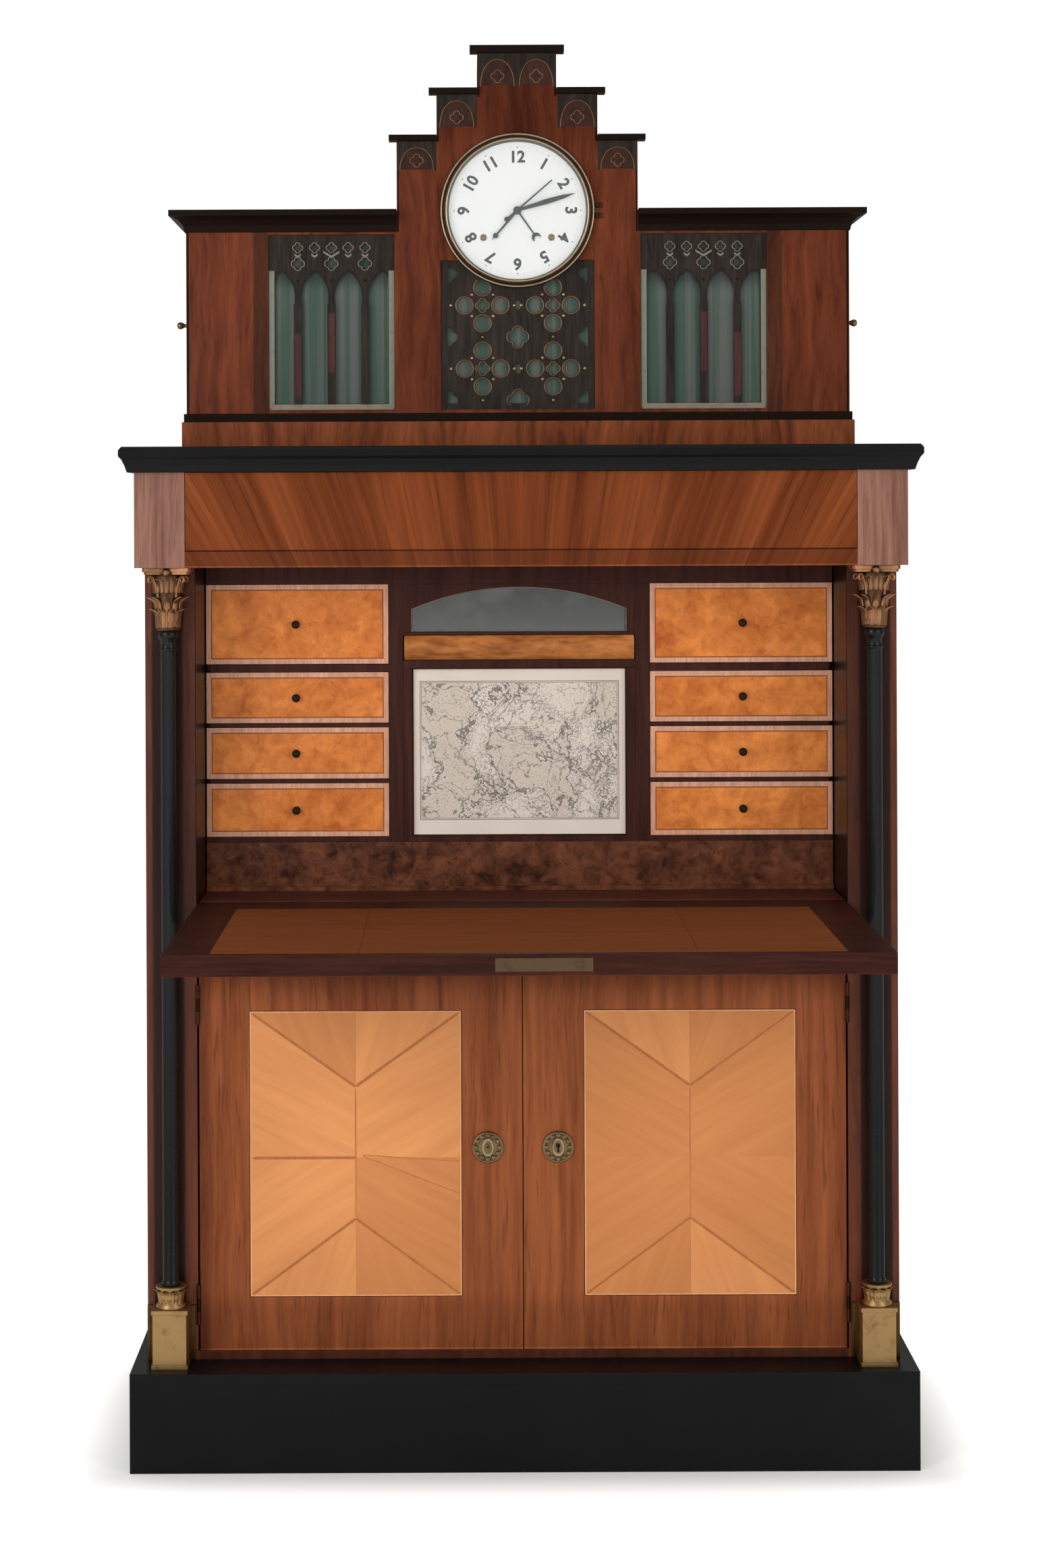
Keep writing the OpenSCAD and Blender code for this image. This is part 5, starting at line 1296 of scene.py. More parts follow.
@dataclass
class Columns:
    """Black turned columns with their gilt capitals, blocks and post plates."""

    shop: Workshop
    shaft: float = 0.012
    z_foot: float = 0.268
    z_neck: float = 1.246
    z_block: float = 0.147
    block_h: float = 0.088
    block_half: float = 0.027
    block_gap: float = 0.005
    slab: float = 0.010
    plate_in: float = 0.498
    plate_edge: float = 0.004
    neck_leaf: Leaf = Leaf(height=0.031, width=0.015, flare=0.004, curl=0.0035, lobes=2, thickness=0.001)
    low_leaf: Leaf = Leaf(height=0.035, width=0.0098, flare=0.004, curl=0.0085, lobes=3, thickness=0.0018)
    high_leaf: Leaf = Leaf(height=0.057, width=0.0088, flare=0.0065, curl=0.0100, lobes=4, thickness=0.0018)
    flute: Leaf = Leaf(height=0.027, width=0.0062, flare=0.004, curl=0.0020, lobes=1, thickness=0.0020)

    def build(self) -> None:
        """Builds the columns from the ground up."""
        self.shafts()
        self.blocks()
        self.capitals()
        self.plates()

    def shafts(self) -> None:
        """Turns the two shafts."""
        piece = self.shop.piece("turned_columns")
        r, top = self.shaft, self.z_neck - self.z_foot
        profile = [(0.0, 0.0), (r + .002, 0.0), (r + .002, .003), (r + .0012, .006), (r, .009),
                   (r * 0.99, top * 0.5), (r * 0.97, top - .032), (r, top - .030), (r + .0016, top - .028),
                   (r, top - .026), (r * 0.97, top - .024), (r * 0.98, top - .014), (r + .0022, top - .0115),
                   (r + .003, top - .009), (r + .003, top - .004), (r + .0022, top - .002), (r + .001, top),
                   (0.0, top)]
        for side in (-1, 1):
            piece.lathe(profile, (side * X_COLUMN, Y_COLUMN, self.z_foot), "black_columns", segments=72)
        piece.finish("carcass", "ebonised_wood", ["columns"])

    def blocks(self) -> None:
        """Builds the gilt blocks, each with a foot and a head moulding, and their leafy necks."""
        piece = self.shop.piece("gilt_blocks")
        y0, y1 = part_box("column_bases")[0].y, Y_FRONT - self.block_gap
        half, z0, z1 = self.block_half, self.z_block, self.z_block + self.block_h
        neck = [(0.0, 0.0), (.022, 0.0), (.022, .003), (.0175, .008), (.0165, .014), (.019, .024),
                (.0225, .0305), (.0225, .0325), (0.0, .0325)]
        leaf = self.neck_leaf.mesh()
        for side in (-1, 1):
            x = side * X_COLUMN
            for waist, set_back, foot, head in ((0.0, 0.0, z0, z0 + .007), (.002, .001, z0 + .007, z1 - .006),
                                                (0.0, 0.0, z1 - .006, z1)):
                low, high = (x - half + waist, y0 + set_back, foot), (x + half - waist, y1, head)
                piece.block(low, high, "fire_gilt")
            piece.lathe(neck, (x, Y_COLUMN, z1 + SKIN), "fire_gilt")
            self.shop.ring(piece, leaf, 10, .0165, "fire_gilt", (x, Y_COLUMN, z1 + .001))
        piece.finish("carcass", "gilt_brass", ["column_bases"], bevel=0.0007)

    def capitals(self) -> None:
        """Builds the leafy capitals: a dark bell painted as the shade behind the leaves, two rows of leaves,
        flutes, corner scrolls and a slab.
        """
        piece = self.shop.piece("leaf_capitals")
        low_leaf, high_leaf, flute = self.low_leaf.mesh(), self.high_leaf.mesh(), self.flute.mesh()
        z0, z1 = self.z_neck, Z_FRIEZE - self.slab
        bell_h = z1 - z0 - SKIN
        bell = [(0.0, 0.0), (.0155, 0.0), (.0175, .003), (.0155, .006), (.015, .010), (.0158, .032),
                (.018, .054), (.023, .076), (.0245, bell_h), (0.0, bell_h)]
        for side in (-1, 1):
            x = side * X_COLUMN
            # The dark bell is painted shade showing in the gaps between the leaves
            piece.lathe(bell, (x, Y_COLUMN, z0), "bezel_groove")
            centre = (x, Y_COLUMN, z0 + .004)
            self.shop.ring(piece, low_leaf, 8, .0172, "dull_gilt", centre, turn=math.pi / 8)
            self.shop.ring(piece, high_leaf, 8, .0168, "dull_gilt", centre)
            self.shop.ring(piece, flute, 16, .0205, "dull_gilt", (x, Y_COLUMN, z1 - .028))
            self.shop.bead(piece, self.scrolls(x, z0), .0022, "dull_gilt", 10)
            self.abacus(piece, x, z1)
        piece.finish("carcass", "gilt_brass", ["capitals"])

    def scrolls(self, x: float, z0: float) -> list[list[Point]]:
        """Draws the four corner scrolls of a capital.

        Args:
            x: Its axis.
            z0: Its foot.

        Returns:
            Their centre lines.
        """
        stem_r, lean, stem_foot, stem_head, eye = .019, .0085, .050, .076, .0058
        stem = [(stem_r + lean * s * s, stem_foot + (stem_head - stem_foot) * s)
                for s in (i / 8 for i in range(9))]
        coil = []
        for i in range(1, 26):
            a, r = i / 25 * 2.6 * math.pi, eye * (1.0 - 0.75 * i / 25)
            coil.append((stem_r + lean + eye - r * math.cos(a), stem_head + r * math.sin(a) * 0.95))
        lines = []
        for corner in range(4):
            turn = math.pi / 4 + corner * math.pi / 2
            lines.append([Axis.UP.spot((x, Y_COLUMN, z0), r, h, turn) for r, h in stem + coil])
        return lines

    def abacus(self, piece: Piece, x: float, z: float) -> None:
        """Adds the hollow-sided slab on a capital and the boss on its front.

        Args:
            piece: The capitals.
            x: The capital's axis.
            z: The slab's underside.
        """
        wide, deep, hollow, cut = .036, .0275, .006, .004
        outline: list[Flat] = []
        for a, b in (((-wide + cut, -deep), (wide - cut, -deep)), ((wide, -deep + cut), (wide, deep - cut)),
                     ((wide - cut, deep), (-wide + cut, deep)), ((-wide, deep - cut), (-wide, -deep + cut))):
            inward = Vector((-(b[1] - a[1]), b[0] - a[0])).normalized()
            for s in (i / 8 for i in range(9)):
                dip = hollow * 4 * s * (1 - s)
                outline.append(tuple(a[k] + (b[k] - a[k]) * s + inward[k] * dip for k in (0, 1)))
        for low, high, grow in ((0.0, .004, .93), (.004, self.slab, 1.0)):
            bottom, top = ([piece.bm.verts.new((x + u * grow, Y_COLUMN + v * grow, z + level))
                            for u, v in outline] for level in (low, high))
            piece.face(bottom[::-1], "dull_gilt")
            piece.face(top, "dull_gilt")
            for i in range(len(outline)):
                j = (i + 1) % len(outline)
                piece.face([bottom[i], bottom[j], top[j], top[i]], "dull_gilt")
        boss = [(0.0, .007), (.003, .006), (.0055, .003), (.006, 0.0), (0.0, 0.0)]
        piece.lathe(boss, (x, Y_COLUMN - deep + hollow, z + .003), "dull_gilt", Axis.FRONT, 24)

    def plates(self) -> None:
        """Dresses the gilt plates at the feet of the posts and frames them."""
        self.shop.dress(pilaster_mounts="plate_gilt")
        low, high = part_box("pilaster_mounts")
        piece = self.shop.piece("post_plate_frames")
        edge = self.plate_edge
        lines = []
        for side in (-1, 1):
            a, b = sorted((side * self.plate_in, side * (high.x - edge)))
            lines.append(rectangle(a, b, low.z + edge, high.z - edge, low.y))
        self.shop.bead(piece, lines, .0011, "plate_gilt")
        piece.finish("carcass", "gilt_brass")


def rectangle(x0: float, x1: float, z0: float, z1: float, y: float) -> list[Point]:
    """Gives the corners of a rectangle facing front, the first repeated at the end."""
    return [(x0, y, z0), (x1, y, z0), (x1, y, z1), (x0, y, z1), (x0, y, z0)]


@dataclass
class Door:
    """A cupboard door: veneer panel, pale line and keyhole rosette."""

    shop: Workshop
    side: int
    thickness: float = 0.00035
    gap: float = 0.0010
    line: float = 0.0016
    shade_w: float = 0.0050
    core_w: float = 0.0020
    sheet_seam: float = 0.00008
    top_drop: float = 0.112
    foot_rise: float = 0.115
    mid_drop: float = 0.219
    lean: float = 0.35
    flatter: float = 0.8
    rays: Flat = (0.006, 0.055)
    ray_gap: Flat = (0.006, 0.004)
    key_x: float = 0.053
    key_z: float = 0.465
    plate: float = 0.0025

    @property
    def word(self) -> str:
        """Names the side."""
        return "left" if self.side < 0 else "right"

    def build(self) -> None:
        """Dresses the frame and builds the veneer and the rosette."""
        door = f"{self.word}_door"
        self.shop.dress(**{door: "door_mahogany", f"{door}_panel": "side_mahogany",
                           f"{door}_fittings": "aged_brass"})
        self.veneer()
        self.rosette()

    def veneer(self) -> None:
        """Lays the sheets of veneer round the spine in lit and shaded copies of one veneer, their dark joints
        and a pale line round them.
        """
        low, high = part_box(f"{self.word}_door_panel")
        line, front, back = self.line, low.y - self.thickness, low.y
        x0, x1 = low.x + self.gap + line, high.x - self.gap - line
        z0, z1 = low.z + self.gap + line, high.z - self.gap - line
        spine = (x0 + x1) / 2
        head, foot, mid = z1 - self.top_drop, z0 + self.foot_rise, z1 - self.mid_drop
        left_door = self.side < 0
        piece = self.shop.piece(f"{self.word}_door_veneer")
        for hand, edge in ((-1, x0), (1, x1)):
            seam = spine + hand * self.sheet_seam
            side_way = (spine - edge, (head - z1) * self.flatter)
            low_way = (spine - edge, (foot - z0) * self.flatter)
            # Painted light: each sheet takes the lit or the shaded copy of the satin veneer, and the right
            # door takes mostly shaded sheets
            pale = hand == 1
            sheets = [
                ([(edge, z1), (seam, z1), (seam, head)], (hand * self.lean, 1.0), pale == left_door),
                ([(edge, z0), (seam, z0), (seam, foot)], (hand * -self.lean, 1.0), pale != left_door),
                ([(edge, z1), (seam, head), (seam, mid), (edge, mid)], side_way, left_door),
                ([(edge, mid), (seam, mid), (seam, foot), (edge, z0)], low_way, not pale and left_door),
            ]
            for outline, along, light in sheets:
                piece.prism(outline, front, back, "satin_veneer" if light else "satin_shaded", along)
            self.joint(piece, (edge, z1), (spine, head), front)
            self.joint(piece, (edge, z0), (spine, foot), front)
        if left_door:
            self.joint(piece, (x0, mid), (spine, mid), front)
            for drop in self.rays:
                start = (spine + self.ray_gap[0], mid + self.ray_gap[1])
                self.joint(piece, start, (x1, mid - drop), front, 0.4)
        self.joint(piece, (spine, head), (spine, foot), front, 0.5)
        for a, b in (((x0 - line, z0 - line), (x1 + line, z0)), ((x0 - line, z1), (x1 + line, z1 + line)),
                     ((x0 - line, z0), (x0, z1)), ((x1, z0), (x1 + line, z1))):
            piece.block((a[0], front, a[1]), (b[0], back, b[1]), "pale_stringing")
        piece.finish(f"{self.word}_door", "satinwood")

    def joint(self, piece: Piece, start: Flat, end: Flat, front: float, share: float = 1.0) -> None:
        """Lays a shaded strip with a darker core along a joint of the veneer.

        Args:
            piece: The veneer.
            start: Where the joint starts.
            end: Where it ends.
            front: Y of the veneer's face.
            share: Its width beside that of a main joint; a narrow one has no core.
        """
        away = Vector((end[0] - start[0], end[1] - start[1])).normalized()
        across = Vector((-away.y, away.x))
        layers = ((self.shade_w, .00004, "veneer_shade"), (self.core_w, .00008, "veneer_joint"))
        for width, lift, finish in layers[:1] if share < 0.9 else layers:
            off = across * width * share / 2
            a, b = Vector(start) + away * width, Vector(end) - away * width * 0.3
            corners = [tuple(a - off), tuple(b - off), tuple(b + off), tuple(a + off)]
            piece.prism(corners, front - lift, front, finish)

    def rosette(self) -> None:
        """Adds a ring of petals, a pale oval and a keyhole, which is only a brass dummy on the left door and
        on the right a dark sheet painted as the shade in its opening.
        """
        x, z = self.side * self.key_x, self.key_z
        face = Y_FRONT - self.plate
        piece = self.shop.piece(f"{self.word}_keyhole_rosette")
        rim = [(.0195, 0.0), (.0200, .0008), (.0218, .0014), (.0236, .0008), (.0238, 0.0), (.0195, 0.0)]
        piece.lathe(rim, (x, face, z), "aged_brass", Axis.FRONT, 48)
        petal = drop_mesh(.0040, 0.45)
        self.shop.ring(piece, petal, 12, .0178, "aged_brass", (x, face - .0006, z), Axis.FRONT)
        for scale, lift, finish in ((1.0, .0016, "pale_key_brass"), (0.72, .0018, "aged_brass")):
            oval = [(x + .0088 * scale * math.cos(a), z + .0135 * scale * math.sin(a))
                    for a in (math.tau * i / 40 for i in range(40))]
            piece.prism(oval, face - lift, face, finish)
        # The right keyhole's opening is a dark sheet of painted shade
        top, hole = face - .0018, "aged_brass" if self.side < 0 else "dark_line"
        slot = [(x - .0015, z - .0075), (x + .0015, z - .0075), (x + .0015, z + .002), (x - .0015, z + .002)]
        piece.prism(slot, top - .0002, top, hole)
        eye = [(0.0, .0002), (.0032, .0002), (.0032, 0.0), (0.0, 0.0)]
        piece.lathe(eye, (x, top, z + .003), hole, Axis.FRONT, 24)
        piece.finish(f"{self.word}_door", "brass")


@dataclass
class FallFront:
    """The fall: board with edge beads, inlaid line, writing field, lock and stop levers."""

    shop: Workshop
    bead: float = 0.0022
    proud: float = 0.0004
    lock_gap: Flat = (-0.048, 0.088)
    end_gap: float = 0.001
    below_top: float = 0.0035
    above_foot: float = 0.004
    line_at: float = 0.0045
    line_w: float = 0.0015
    line_lift: float = 0.0002

    def build(self) -> None:
        """Dresses the fall, beads its edge on both sides of the lock and lays the line round the field."""
        self.shop.dress(fall_board="fall_moulding", writing_surface="writing_veneer", fall_lock="lock_brass",
                        fall_irons="dark_steel")
        low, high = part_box("fall_board")
        piece = self.shop.piece("fall_edge_beads")
        y, x = low.y + self.bead - self.proud, high.x - self.end_gap
        lines = [[(a, y, z), (b, y, z)] for a, b in ((-x, self.lock_gap[0]), (self.lock_gap[1], x))
                 for z in (low.z + self.above_foot, high.z - self.below_top)]
        self.shop.bead(piece, lines, self.bead, "fall_moulding")
        piece.finish("fall_front", "dark_interior")
        field_low, field_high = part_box("writing_surface")
        near, far = self.line_at, self.line_at + self.line_w
        inlay = self.shop.piece("fall_inlaid_line")
        for x0, x1, y0, y1 in (
            (field_low.x - far, field_high.x + far, field_low.y - far, field_low.y - near),
            (field_low.x - far, field_low.x - near, field_low.y - near, field_high.y),
            (field_high.x + near, field_high.x + far, field_low.y - near, field_high.y),
        ):
            inlay.block((x0, y0, high.z - self.line_lift), (x1, y1, high.z + self.line_lift), "amber_sides")
        inlay.finish("fall_front", "walnut_brown")


@dataclass
class Nest:
    """Drawers, mirror, map panel and apron behind the fall."""

    shop: Workshop
    band: float = 0.0075
    line: float = 0.0018
    skin: float = 0.0003
    knob_r: float = 0.0062
    knob_reach: float = 0.0132
    knob_out: float = 0.002
    knob_down: float = 0.00025
    arch_half: float = 0.167
    arch_rise: float = 0.034
    arch_drop: float = 0.003

    def build(self) -> None:
        """Dresses the nest and builds the veneer of each drawer."""
        self.shop.dress(nest_case="nest_mahogany", nest_apron="apron_burl", arch_mirror="old_mirror",
                        centre_surround="nest_mahogany", print_panel="engraved_sheet",
                        centre_drawer="walnut_front")
        for side, word in ((-1, "left"), (1, "right")):
            for number in range(1, 5):
                self.drawer(f"{word}_drawer_{number}", side)
        self.mirror_line()
        self.map_edge()

    def drawer(self, node: str, side: int) -> None:
        """Veneers one drawer front and gives it a turned knob.

        Args:
            node: The drawer.
            side: -1 on the left, 1 on the right.
        """
        self.shop.dress(**{node: "amber_sides"})
        low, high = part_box(node)
        piece = self.shop.piece(f"{node}_veneer")
        y0, y1 = Y_NEST - self.skin, Y_NEST
        inner = self.band + self.line
        for inset, width, finish in ((0.0, self.band, "drawer_band"), (self.band, self.line, "burl_line")):
            x0, x1, z0, z1 = low.x + inset, high.x - inset, low.z + inset, high.z - inset
            piece.block((x0, y0, z1 - width), (x1, y1, z1), finish)
            piece.block((x0, y0, z0), (x1, y1, z0 + width), finish)
            piece.block((x0, y0, z0 + width), (x0 + width, y1, z1 - width), finish)
            piece.block((x1 - width, y0, z0 + width), (x1, y1, z1 - width), finish)
        piece.block((low.x + inner, y0, low.z + inner), (high.x - inner, y1, high.z - inner), "amber_burl")
        knob_x = side * ((abs(low.x) + abs(high.x)) / 2 + self.knob_out)
        self.knob(piece, knob_x, (low.z + high.z) / 2 - self.knob_down)
        piece.finish(node, "amber_burl")

    def knob(self, piece: Piece, x: float, z: float) -> None:
        """Turns a small dark knob over the solid one.

        Args:
            piece: The drawer's veneer.
            x: Its place.
            z: Its height.
        """
        r, reach = self.knob_r, self.knob_reach
        profile = [(0.0, 0.0), (r * .95, 0.0), (r * .95, .0012), (r * .62, .0024), (r * .60, reach * .40),
                   (r * .9, reach * .50), (r * 1.03, reach * .62), (r, reach * .78), (r * .72, reach * .95),
                   (r * .35, reach + .0001), (0.0, reach + .0002)]
        piece.lathe(profile, (x, Y_NEST - self.skin, z), "dark_line", Axis.FRONT, 32)

    def mirror_line(self) -> None:
        """Lays a thin line round the arched mirror."""
        low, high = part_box("arch_mirror")
        half, rise, top = self.arch_half, self.arch_rise, high.z - self.arch_drop
        radius = (half * half + rise * rise) / (2 * rise)
        span = math.asin(half / radius)
        y = Y_NEST - self.skin
        arc = [(radius * math.sin(a), y, top - radius + radius * math.cos(a))
               for a in (span * (2 * i / 40 - 1) for i in range(41))]
        piece = self.shop.piece("mirror_line")
        feet = [(-half, y, low.z + .001), (half, y, low.z + .001)]
        self.shop.bead(piece, [feet[:1] + arc + feet[1:]], .0009, "silver_bead", 6)
        piece.finish("carcass", "dark_interior")

    def map_edge(self) -> None:
        """Lays a fine rebate bead round the map panel."""
        low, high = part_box("print_panel")
        piece = self.shop.piece("map_panel_bead")
        lap = .0008
        line = rectangle(low.x + lap, high.x - lap, low.z + lap, high.z - lap, Y_NEST + .0065)
        self.shop.bead(piece, [line], .0016, "nest_mahogany")
        piece.finish("carcass", "dark_interior")


@dataclass
class ClockCase:
    """Wings, tower, traceries and silk."""

    shop: Workshop
    pitch: float = 0.0525
    bar: float = 0.010
    x_window: float = 0.192
    window: float = 0.197
    foot: float = 1.582
    spring: float = 1.760
    petal_at: float = 0.028
    petal_r: float = 0.0136
    flower_x: float = 0.055
    flower_z: Flat = (1.646, 1.745)
    stud_share: float = 0.9
    stud_at: float = 0.0235
    ring_clear: float = 0.1225
    stud_clear: float = 0.124
    knob_at: Point = (0.5171, 0.0210, 1.719)

    @property
    def middle(self) -> float:
        """Gives the distance of a window's middle from that of the case."""
        return self.x_window + self.window / 2

    def build(self) -> None:
        """Dresses the case and builds what lies on its front, the silks and the side knobs."""
        self.shop.dress(clock_case="case_mahogany", case_front="case_mahogany", case_mouldings="black_caps",
                        wing_tracery="tracery_wood", centre_tracery="tracery_wood",
                        left_side_door="case_mahogany", right_side_door="case_mahogany")
        self.wing_beads()
        self.window_linings()
        self.centre_beads()
        self.arcades()
        self.silks()
        self.side_knobs()

    def bar_x(self, side: int, pitches: float) -> float:
        """Gives X at some pitches outward from the middle of a window."""
        return side * (self.middle + pitches * self.pitch)

    def wing_beads(self) -> None:
        """Lays dark beads round the lancets, and pale ones with a row of chevrons in the heads."""
        reach = self.pitch - 0.4 * self.bar
        rise = math.acos((self.pitch / 2) / reach)
        flank = [(self.pitch / 2 - reach, self.spring - 0.02)]
        for a in (rise * k / 8 for k in range(9)):
            flank.append((self.pitch / 2 - reach * math.cos(a), self.spring + reach * math.sin(a)))
        arch = flank + [(-u, v) for u, v in flank[-2::-1]]
        near, far = self.x_window + self.bar, self.x_window + self.window - self.bar
        half_steps = (-1, -.5, 0, .5, 1)
        arches: list[list[Point]] = []
        foils: list[list[Point]] = []
        for side in (-1, 1):
            for pitches in (-1.5, -.5, .5, 1.5):
                x = self.middle + pitches * self.pitch
                arches.append([(side * (x + u), TRACERY_FACE, v) for u, v in arch if near < x + u < far])
            for steps, height, lobe in ((half_steps[::2], .051, .0052), (half_steps, .076, .0040)):
                foils += [self.foil(self.bar_x(side, step), self.spring + height, lobe, lobe, TRACERY_FACE)
                          for step in steps]
        piece = self.shop.piece("wing_gilt_beads")
        self.shop.bead(piece, foils, .0008, "silver_bead", 6)
        self.shop.bead(piece, arches, .0011, "tracery_wood", 6)
        z, deep = self.spring + .0635, .0034
        for x, step in ((self.bar_x(side, step), step) for side in (-1, 1) for step in half_steps):
            arm, drop = (.0125, .0075) if step == 0 else (.0050, .0035)
            left, right, tip = x - arm, x + arm, z + drop
            chevron = [(left, tip), (left, tip - deep), (x, z - deep), (right, tip - deep), (right, tip),
                       (x, z)]
            piece.prism(chevron, TRACERY_FACE - .0006, TRACERY_FACE, "pale_brass")
        piece.finish("carcass", "gilt_brass")

    @staticmethod
    def foil(x: float, z: float, step: float, lobe: float, y: float) -> list[Point]:
        """Draws a closed four-lobed line.

        Args:
            x: Its middle.
            z: Its middle's height.
            step: Distance of each lobe from the middle.
            lobe: Radius of a lobe.
            y: Its plane.

        Returns:
            Its points.
        """
        line = []
        for a in (math.tau * i / 64 for i in range(64)):
            near = (a + math.pi / 4) % (math.pi / 2) - math.pi / 4
            r = step * math.cos(near) + math.sqrt(max(0.0, lobe ** 2 - (step * math.sin(near)) ** 2))
            line.append((x + r * math.cos(a), y, z + r * math.sin(a)))
        return line + line[:1]

    def window_linings(self) -> None:
        """Adds the pale strips round each window, the fillets of its bars and the reddish face of two."""
        piece = self.shop.piece("window_linings")
        y0, y1, fillet = TRACERY_FACE - .0004, TRACERY_FACE, TRACERY_FACE - .0018
        edge, lap = self.bar - .0006, .0004
        near, far = self.x_window, self.x_window + self.window
        foot = self.foot + edge
        for side in (-1, 1):
            for a, b in ((near + lap, near + edge), (far - edge, far - lap)):
                x0, x1 = sorted((side * a, side * b))
                piece.block((x0, y0, foot), (x1, y1, self.spring + .040), "pale_brass")
            x0, x1 = sorted((side * (near + lap), side * (far - lap)))
            piece.block((x0, y0, self.foot + .0006), (x1, y1, foot), "silver_bead")
            for x in (self.bar_x(side, pitches) for pitches in (-1, 0, 1)):
                piece.block((x - .0064, fillet, foot), (x + .0064, y1, self.spring - .012), "tracery_wood")
            for pitches, z0, z1 in ((0, .059, .152), (1, .020, .120)):
                x = self.bar_x(side, pitches)
                low, high = (x - .0050, fillet - .0004, self.foot + z0), (x + .0050, fillet, self.foot + z1)
                piece.block(low, high, "red_mullion")
        piece.finish("carcass", "gilt_brass")

    def centre_beads(self) -> None:
        """Lays fine rings and studs on the tracery under the dial."""
        y, floor = TRACERY_FACE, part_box("centre_tracery")[0].z + .006
        step = self.flower_x * self.stud_share
        rings: list[list[Point]] = []
        studs: list[Flat] = []
        for x, z in ((side * self.flower_x, z) for side in (-1, 1) for z in self.flower_z):
            for a in (k * math.pi / 2 for k in range(4)):
                b = a + math.pi / 4
                rings.append(self.circle(x + self.petal_at * math.cos(a), z + self.petal_at * math.sin(a)))
                studs.append((x + step * math.cos(a), z + step * math.sin(a)))
                studs.append((x + self.stud_at * math.cos(b), z + self.stud_at * math.sin(b)))
            rings.append(self.foil(x, z, .0055, .0055, y))
        between = (self.flower_z[1] - self.flower_z[0]) / 2
        for z in (self.flower_z[0] + between, self.flower_z[0] - between):
            rings.append(self.foil(0.0, z, .0086, .0086, y))
        piece = self.shop.piece("centre_gilt_beads")
        runs = [run for ring in rings for run in self.clipped(ring, floor)]
        self.shop.bead(piece, runs, .0008, "dull_gilt", 6)
        stud = drop_mesh(.0026, 0.5)
        for x, z in dict.fromkeys(studs):
            if z > floor and abs(x) < 0.112 and math.hypot(x, z - DIAL[2]) > self.stud_clear:
                copy = stud.copy()
                copy.transform(Matrix.Translation((x, y, z)) @ Matrix.Rotation(math.pi / 2, 4, "X"))
                piece.take(copy, "pale_key_brass", True)
        piece.finish("carcass", "gilt_brass")

    def circle(self, x: float, z: float) -> list[Point]:
        """Draws the closed circle round a petal, given its middle."""
        line = [Axis.FRONT.spot((x, TRACERY_FACE, z), self.petal_r, 0.0, math.tau * i / 40)
                for i in range(40)]
        return line + line[:1]

    def clipped(self, line: Sequence[Point], floor: float) -> list[list[Point]]:
        """Keeps the runs of a line that lie above a height and outside the bezel.

        Args:
            line: The line.
            floor: The height.

        Returns:
            The runs.
        """
        runs: list[list[Point]] = [[]]
        for point in line:
            if point[2] > floor and math.hypot(point[0], point[2] - DIAL[2]) > self.ring_clear:
                runs[-1].append(point)
            elif runs[-1]:
                runs.append([])
        return [run for run in runs if len(run) > 1]

    def arcades(self) -> None:
        """Lays dark pointed arcades with gilt lines under the caps of the stages."""
        piece = self.shop.piece("stage_arcades")
        lines: list[list[Point]] = []
        y0, ground = Y_CASE - .0012, Y_CASE - .0004
        stages = [(-.0605, .0605, 2.138, 2, .052), (.0635, .1245, 2.074, 1, .052),
                  (-.1245, -.0635, 2.074, 1, .052), (.1265, .187, 2.001, 1, .046),
                  (-.187, -.1265, 2.001, 1, .046)]
        for x0, x1, top, count, drop in stages:
            span, foot = (x1 - x0) / count, top - drop
            piece.block((x0, ground, foot + .002), (x1, Y_CASE, top), "stage_heads")
            rim: list[Flat] = []
            for i in range(count):
                a, b = x0 + i * span, x0 + (i + 1) * span
                arch = self.pointed(a + .004, b - .004, foot, drop - .010)
                rim += [(a, foot)] + arch + [(b, foot)]
                lines.append([(u, y0, v) for u, v in arch])
                lines.append(self.foil((a + b) / 2, foot + .016, .0055, .0048, ground))
            piece.prism([(x1, top), (x0, top)] + rim, y0, ground, "tracery_wood")
        self.shop.bead(piece, lines, .0006, "dull_gilt", 6)
        piece.finish("carcass", "tracery_wood")

    @staticmethod
    def pointed(x0: float, x1: float, foot: float, rise: float) -> list[Flat]:
        """Draws a pointed arch from left to right.

        Args:
            x0: Left foot.
            x1: Right foot.
            foot: Height of the feet.
            rise: Height of the point over them.

        Returns:
            Its points.
        """
        half = (x1 - x0) / 2
        left = [(x0 + half * s ** 1.7, foot + rise * math.sin(s * math.pi / 2) ** 0.8)
                for s in (i / 8 for i in range(9))]
        return left + [(x0 + x1 - u, v) for u, v in left[-2::-1]]

    def silks(self) -> None:
        """Stretches three panels of silk behind the windows."""
        low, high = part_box("silk_panels")
        y, columns, rows, slack = low.y + .0004, 48, 12, 0.0002
        spans = {"left_silk": (-.3888, -.1922), "right_silk": (.1922, .3888), "centre_silk": (-.1198, .1198)}
        for name, (x0, x1) in spans.items():
            z0, z1 = low.z, high.z if name != "centre_silk" else DIAL[2] - .0772
            points = []
            for i in range(rows + 1):
                z, sag = z1 + (z0 - z1) * i / rows, math.sin(math.pi * i / rows) * slack
                points.append([(x0 + (x1 - x0) * j / columns, y - sag * math.sin(j * 1.9), z)
                               for j in range(columns + 1)])
            piece = self.shop.piece(name)
            piece.grid(points, "green_silk", True, [[(x, z) for x, _, z in row] for row in points])
            cloth = piece.finish("carcass", "green_silk", ["silk_panels"], outward=False)

    def side_knobs(self) -> None:
        """Turns a brass knob for each side door."""
        profile = [(0.0, 0.0), (.0048, 0.0), (.0048, .0015), (.0030, .004), (.0028, .008), (.0043, .011),
                   (.0057, .0142), (.0053, .0175), (.003, .0196), (0.0, .0202)]
        x, y, z = self.knob_at
        for side, word in ((-1, "left"), (1, "right")):
            piece = self.shop.piece(f"{word}_side_knob")
            piece.lathe([(r, side * h) for r, h in profile], (side * x, y, z), "aged_brass", Axis.RIGHT, 32)
            piece.finish(f"{word}_side_door", "brass")


